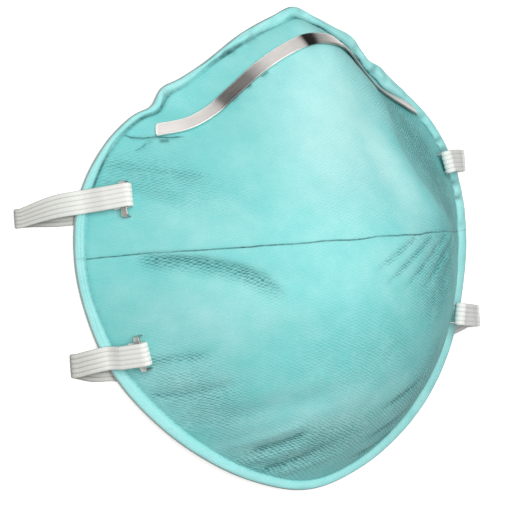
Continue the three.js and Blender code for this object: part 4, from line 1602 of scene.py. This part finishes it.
@dataclass
class Staple:
    """A flat-wire staple across a band's lower layer, with its legs clinched inside the cup."""

    band: Headband
    side: Side
    right_crown: float = 9.4
    left_crown: float = 5.4
    wire_width: float = 1.8
    bend: float = 0.5
    corner: float = 0.3
    clinch: float = 3.0
    turn_in: float = 0.6
    point_gap: float = 0.4
    leg_past_wall: float = 2.0
    inset: float = 0.65
    pitch: float = 0.12

    @property
    def name(self) -> str:
        """Place of the staple, such as upper_left."""
        return f"{self.band.plan.name}_{self.side.name.lower()}"

    def build(self, material: bpy.types.Material) -> bpy.types.Object:
        """Build the staple.

        Args:
            material: Its finish.

        Returns:
            The staple.
        """
        band, right = self.band, self.side is Side.RIGHT
        seat = BandSeat(band.form, band.plan, self.side)
        point, across, up, forward = seat.frame(seat.fold[0] + self.side.value * self.inset)
        shift = band.plan.staple_shift if right else 0.0
        half = ((self.right_crown if right else self.left_crown) - band.wire) / 2
        inside, bend = -band.form.wall - self.leg_past_wall, self.bend
        leg = [
            (half - bend, band.crown_lift), (half, band.crown_lift - bend), (half, inside + bend),
            (half - self.turn_in, inside), (max(half - self.clinch, self.point_gap), inside - bend),
        ]
        corners = [(min(-a, -self.point_gap), h) for a, h in leg[::-1]] + leg
        line = rounded(np.array([point + across * (a + shift) + up * h for a, h in corners]), self.corner, 4)
        rows = spaced(np.column_stack([line, np.tile(forward, (len(line), 1))]), self.pitch)
        strip = SweptStrip(self.wire_width, band.wire, material, squareness=3.5, corners=24)
        return strip.lay(f"staple_wire_{self.name}", rows)


# ------------------------------------------------------------------ nose clip


@dataclass
class NoseClip:
    """The soft metal strip over the nose, bent to the cup's face."""

    form: CupForm
    width: float = 3.7
    thickness: float = 0.6
    corner: float = 0.6
    clearance: float = 0.3
    raise_all: float = 0.2
    end_rise: float = 0.9
    end_steps: int = 8
    bends: int = 57
    pitch: float = 0.4
    line: Path = (
        (-39.3, 30.7), (-33, 31.7), (-27, 34.6), (-21.4, 39.0), (-14, 44.8), (-6, 49.4), (0, 51.4), (6, 51.0),
        (13, 48.8), (20, 44.2), (26, 39.8), (33.4, 35.7), (40.7, 32.5),
    )
    twist: Table = Table(
        ("x", "turn"), ((-40, 0), (4, 0), (9, -8), (14, -3), (24, 0), (28, -6), (34, -4), (40, 0))
    )
    # Painted reflection: the smooth column is how dark the clip is drawn along its length, in place of its
    # dark and bright reflections.
    painted_reflection: Table = Table(
        ("x", "smooth"),
        (
            (-40, 0.02), (-30.5, 0.05), (-28, 0.18), (-26, 0.35), (-24.5, 0.74), (-18, 0.68), (-16, 0.45),
            (-13.5, 0.2), (-11.5, 0.06), (-3.4, 0.03), (-2.4, 0.4), (-1.6, 1.0), (0.8, 0.9), (2.4, 0.5),
            (6, 0.42), (28, 0.5), (40, 0.4),
        ),
    )

    def build(self, material: bpy.types.Material) -> bpy.types.Object:
        """Build the clip.

        Args:
            material: Its finish.

        Returns:
            The clip.
        """
        flat = smooth_line(np.column_stack([np.array(self.line), np.zeros(len(self.line))]), 12)
        x, y, _ = spaced(flat, self.pitch, self.bends).T
        normal = self.form.normal(x, y)
        lie = self.clearance + self.thickness / 2
        centre = np.column_stack([x, y, self.form.height(x, y)]) + normal * lie
        forward = heading(centre)
        up = square_to(normal, forward)
        turn = np.radians(self.twist.read("turn", x))[:, None]
        up = up * np.cos(turn) - np.cross(up, forward) * np.sin(turn)
        last = np.clip(1 - np.arange(self.bends)[::-1] / self.end_steps, 0, 1)
        lift = self.raise_all + self.end_rise * last
        rows = np.column_stack([centre + up * lift[:, None], unit(np.cross(up, forward))])
        rows = spaced(smooth_line(rows, 4), self.pitch)
        gone = gone_by(rows[:, :3])
        short = 2 * self.corner * rounding(np.minimum(gone, gone[-1] - gone), self.corner)
        strip = SweptStrip(self.width, self.thickness, material, squareness=7.0)
        # Painted reflection, passed on as the strip's painted darkness.
        smooth = self.painted_reflection.read("smooth", rows[:, 0])
        return strip.lay("nose_clip_strip", rows, 1 - short / self.width, smooth)


# ------------------------------------------------------------------ table, light and camera


@dataclass
class Studio:
    """The table, the soft light and the camera."""

    azimuth: float = -31.0
    roll: float = 4.2
    distance: float = 700.0
    lens: float = 189.62
    aim: tuple[float, float] = (-22.5 / 2660, -7.0 / 2660)
    table_size: float = 8.0
    key_direction: tuple[float, float, float] = (-0.31, 0.12, 0.94)
    key_distance: float = 1.1
    key_size: float = 0.8
    key_power: float = 11.0
    sky_direction: tuple[float, float, float] = (-0.5, 0.35, 0.79)
    sky_dim: float = 0.2
    sky_bright: float = 0.36

    def table(self) -> bpy.types.Object:
        """Lay the table top at the height of the floor; it throws no light back up on the cup.

        Returns:
            The table top.
        """
        corners = np.array([(-1, -1, 0), (1, -1, 0), (1, 1, 0), (-1, 1, 0)]) * self.table_size / 2
        top = make_mesh("table_top", corners, [(0, 1, 2, 3)])
        top.data.materials.append(PaleTable().make())
        top.visible_diffuse = False
        return top

    def lights(self) -> None:
        """Hang one large soft lamp and set the even light of the room."""
        lamp = bpy.data.lights.new("soft_box", "AREA")
        lamp.shape, lamp.size, lamp.energy = "DISK", self.key_size, self.key_power
        holder = bpy.data.objects.new("soft_box", lamp)
        away = Vector(self.key_direction).normalized()
        holder.location = away * self.key_distance
        holder.rotation_euler = away.to_track_quat("Z", "Y").to_euler()
        bpy.context.scene.collection.objects.link(holder)
        world = bpy.data.worlds.new("room")
        world.use_nodes = True
        world.node_tree.nodes.clear()
        node = partial(add_node, world.node_tree)
        sky = tuple(Vector(self.sky_direction).normalized())
        towards = node("VectorMath.DOT_PRODUCT", node("TexCoord", out="Generated"), sky, out="Value")
        strength = node("MapRange", towards, -1.0, 1.0, self.sky_dim, self.sky_bright)
        node("OutputWorld", node("Background", Color=(1, 1, 1, 1), Strength=strength))
        bpy.context.scene.world = world

    def camera(self) -> None:
        """Set up the camera, a little turned about its own axis."""
        turn, lean = math.radians(self.azimuth), math.radians(self.roll)
        away = np.array([math.sin(turn), 0, math.cos(turn)])
        level = np.array([math.cos(turn), 0, -math.sin(turn)])
        right = level * math.cos(lean) - UPRIGHT * math.sin(lean)
        up = level * math.sin(lean) + UPRIGHT * math.cos(lean)
        ahead = unit(-away + right * self.aim[0] + up * self.aim[1])
        up = unit(up - ahead * up.dot(ahead))
        data = bpy.data.cameras.new("camera")
        data.sensor_width, data.lens = 36.0, self.lens
        data.clip_start, data.clip_end = 0.01, 50.0
        holder = bpy.data.objects.new("camera", data)
        place = Matrix((np.cross(ahead, up), up, -ahead)).transposed().to_4x4()
        place.translation = Vector(to_frame(away * self.distance))
        holder.matrix_world = place
        bpy.context.scene.collection.objects.link(holder)
        bpy.context.scene.camera = holder
        bpy.context.scene.view_settings.view_transform = "Standard"


def main() -> None:
    """Build the respirator piece by piece and report each one."""
    logging.basicConfig(level=logging.INFO, format="%(name)s: %(message)s")
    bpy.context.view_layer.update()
    studio = Studio()
    studio.camera()
    studio.lights()
    studio.table()

    cup = Cup(FORM)
    shell = cup.build()
    cup.dress(shell)
    pieces = [(shell, "cup_body", "nonwoven_teal")]
    elastic, wire = BraidedElastic().make(), STAPLE_WIRE.make()
    for plan in (UPPER, LOWER):
        band = Headband(FORM, plan)
        pieces.append((band.build(elastic), f"headband_{plan.name}", "elastic_white"))
        for side in Side:
            staple = Staple(band, side)
            pieces.append((staple.build(wire), f"staple_{staple.name}", "staple_wire"))
    pieces.append((NoseClip(FORM).build(RolledMetal().make()), "nose_clip", "clip_aluminium"))

    for piece, node, slot in pieces:
        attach(piece, "root")
        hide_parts(node)
        LOG.info("%s: %d faces, stands for %s", piece.name, len(piece.data.polygons), node)


if __name__ == "__main__":
    main()
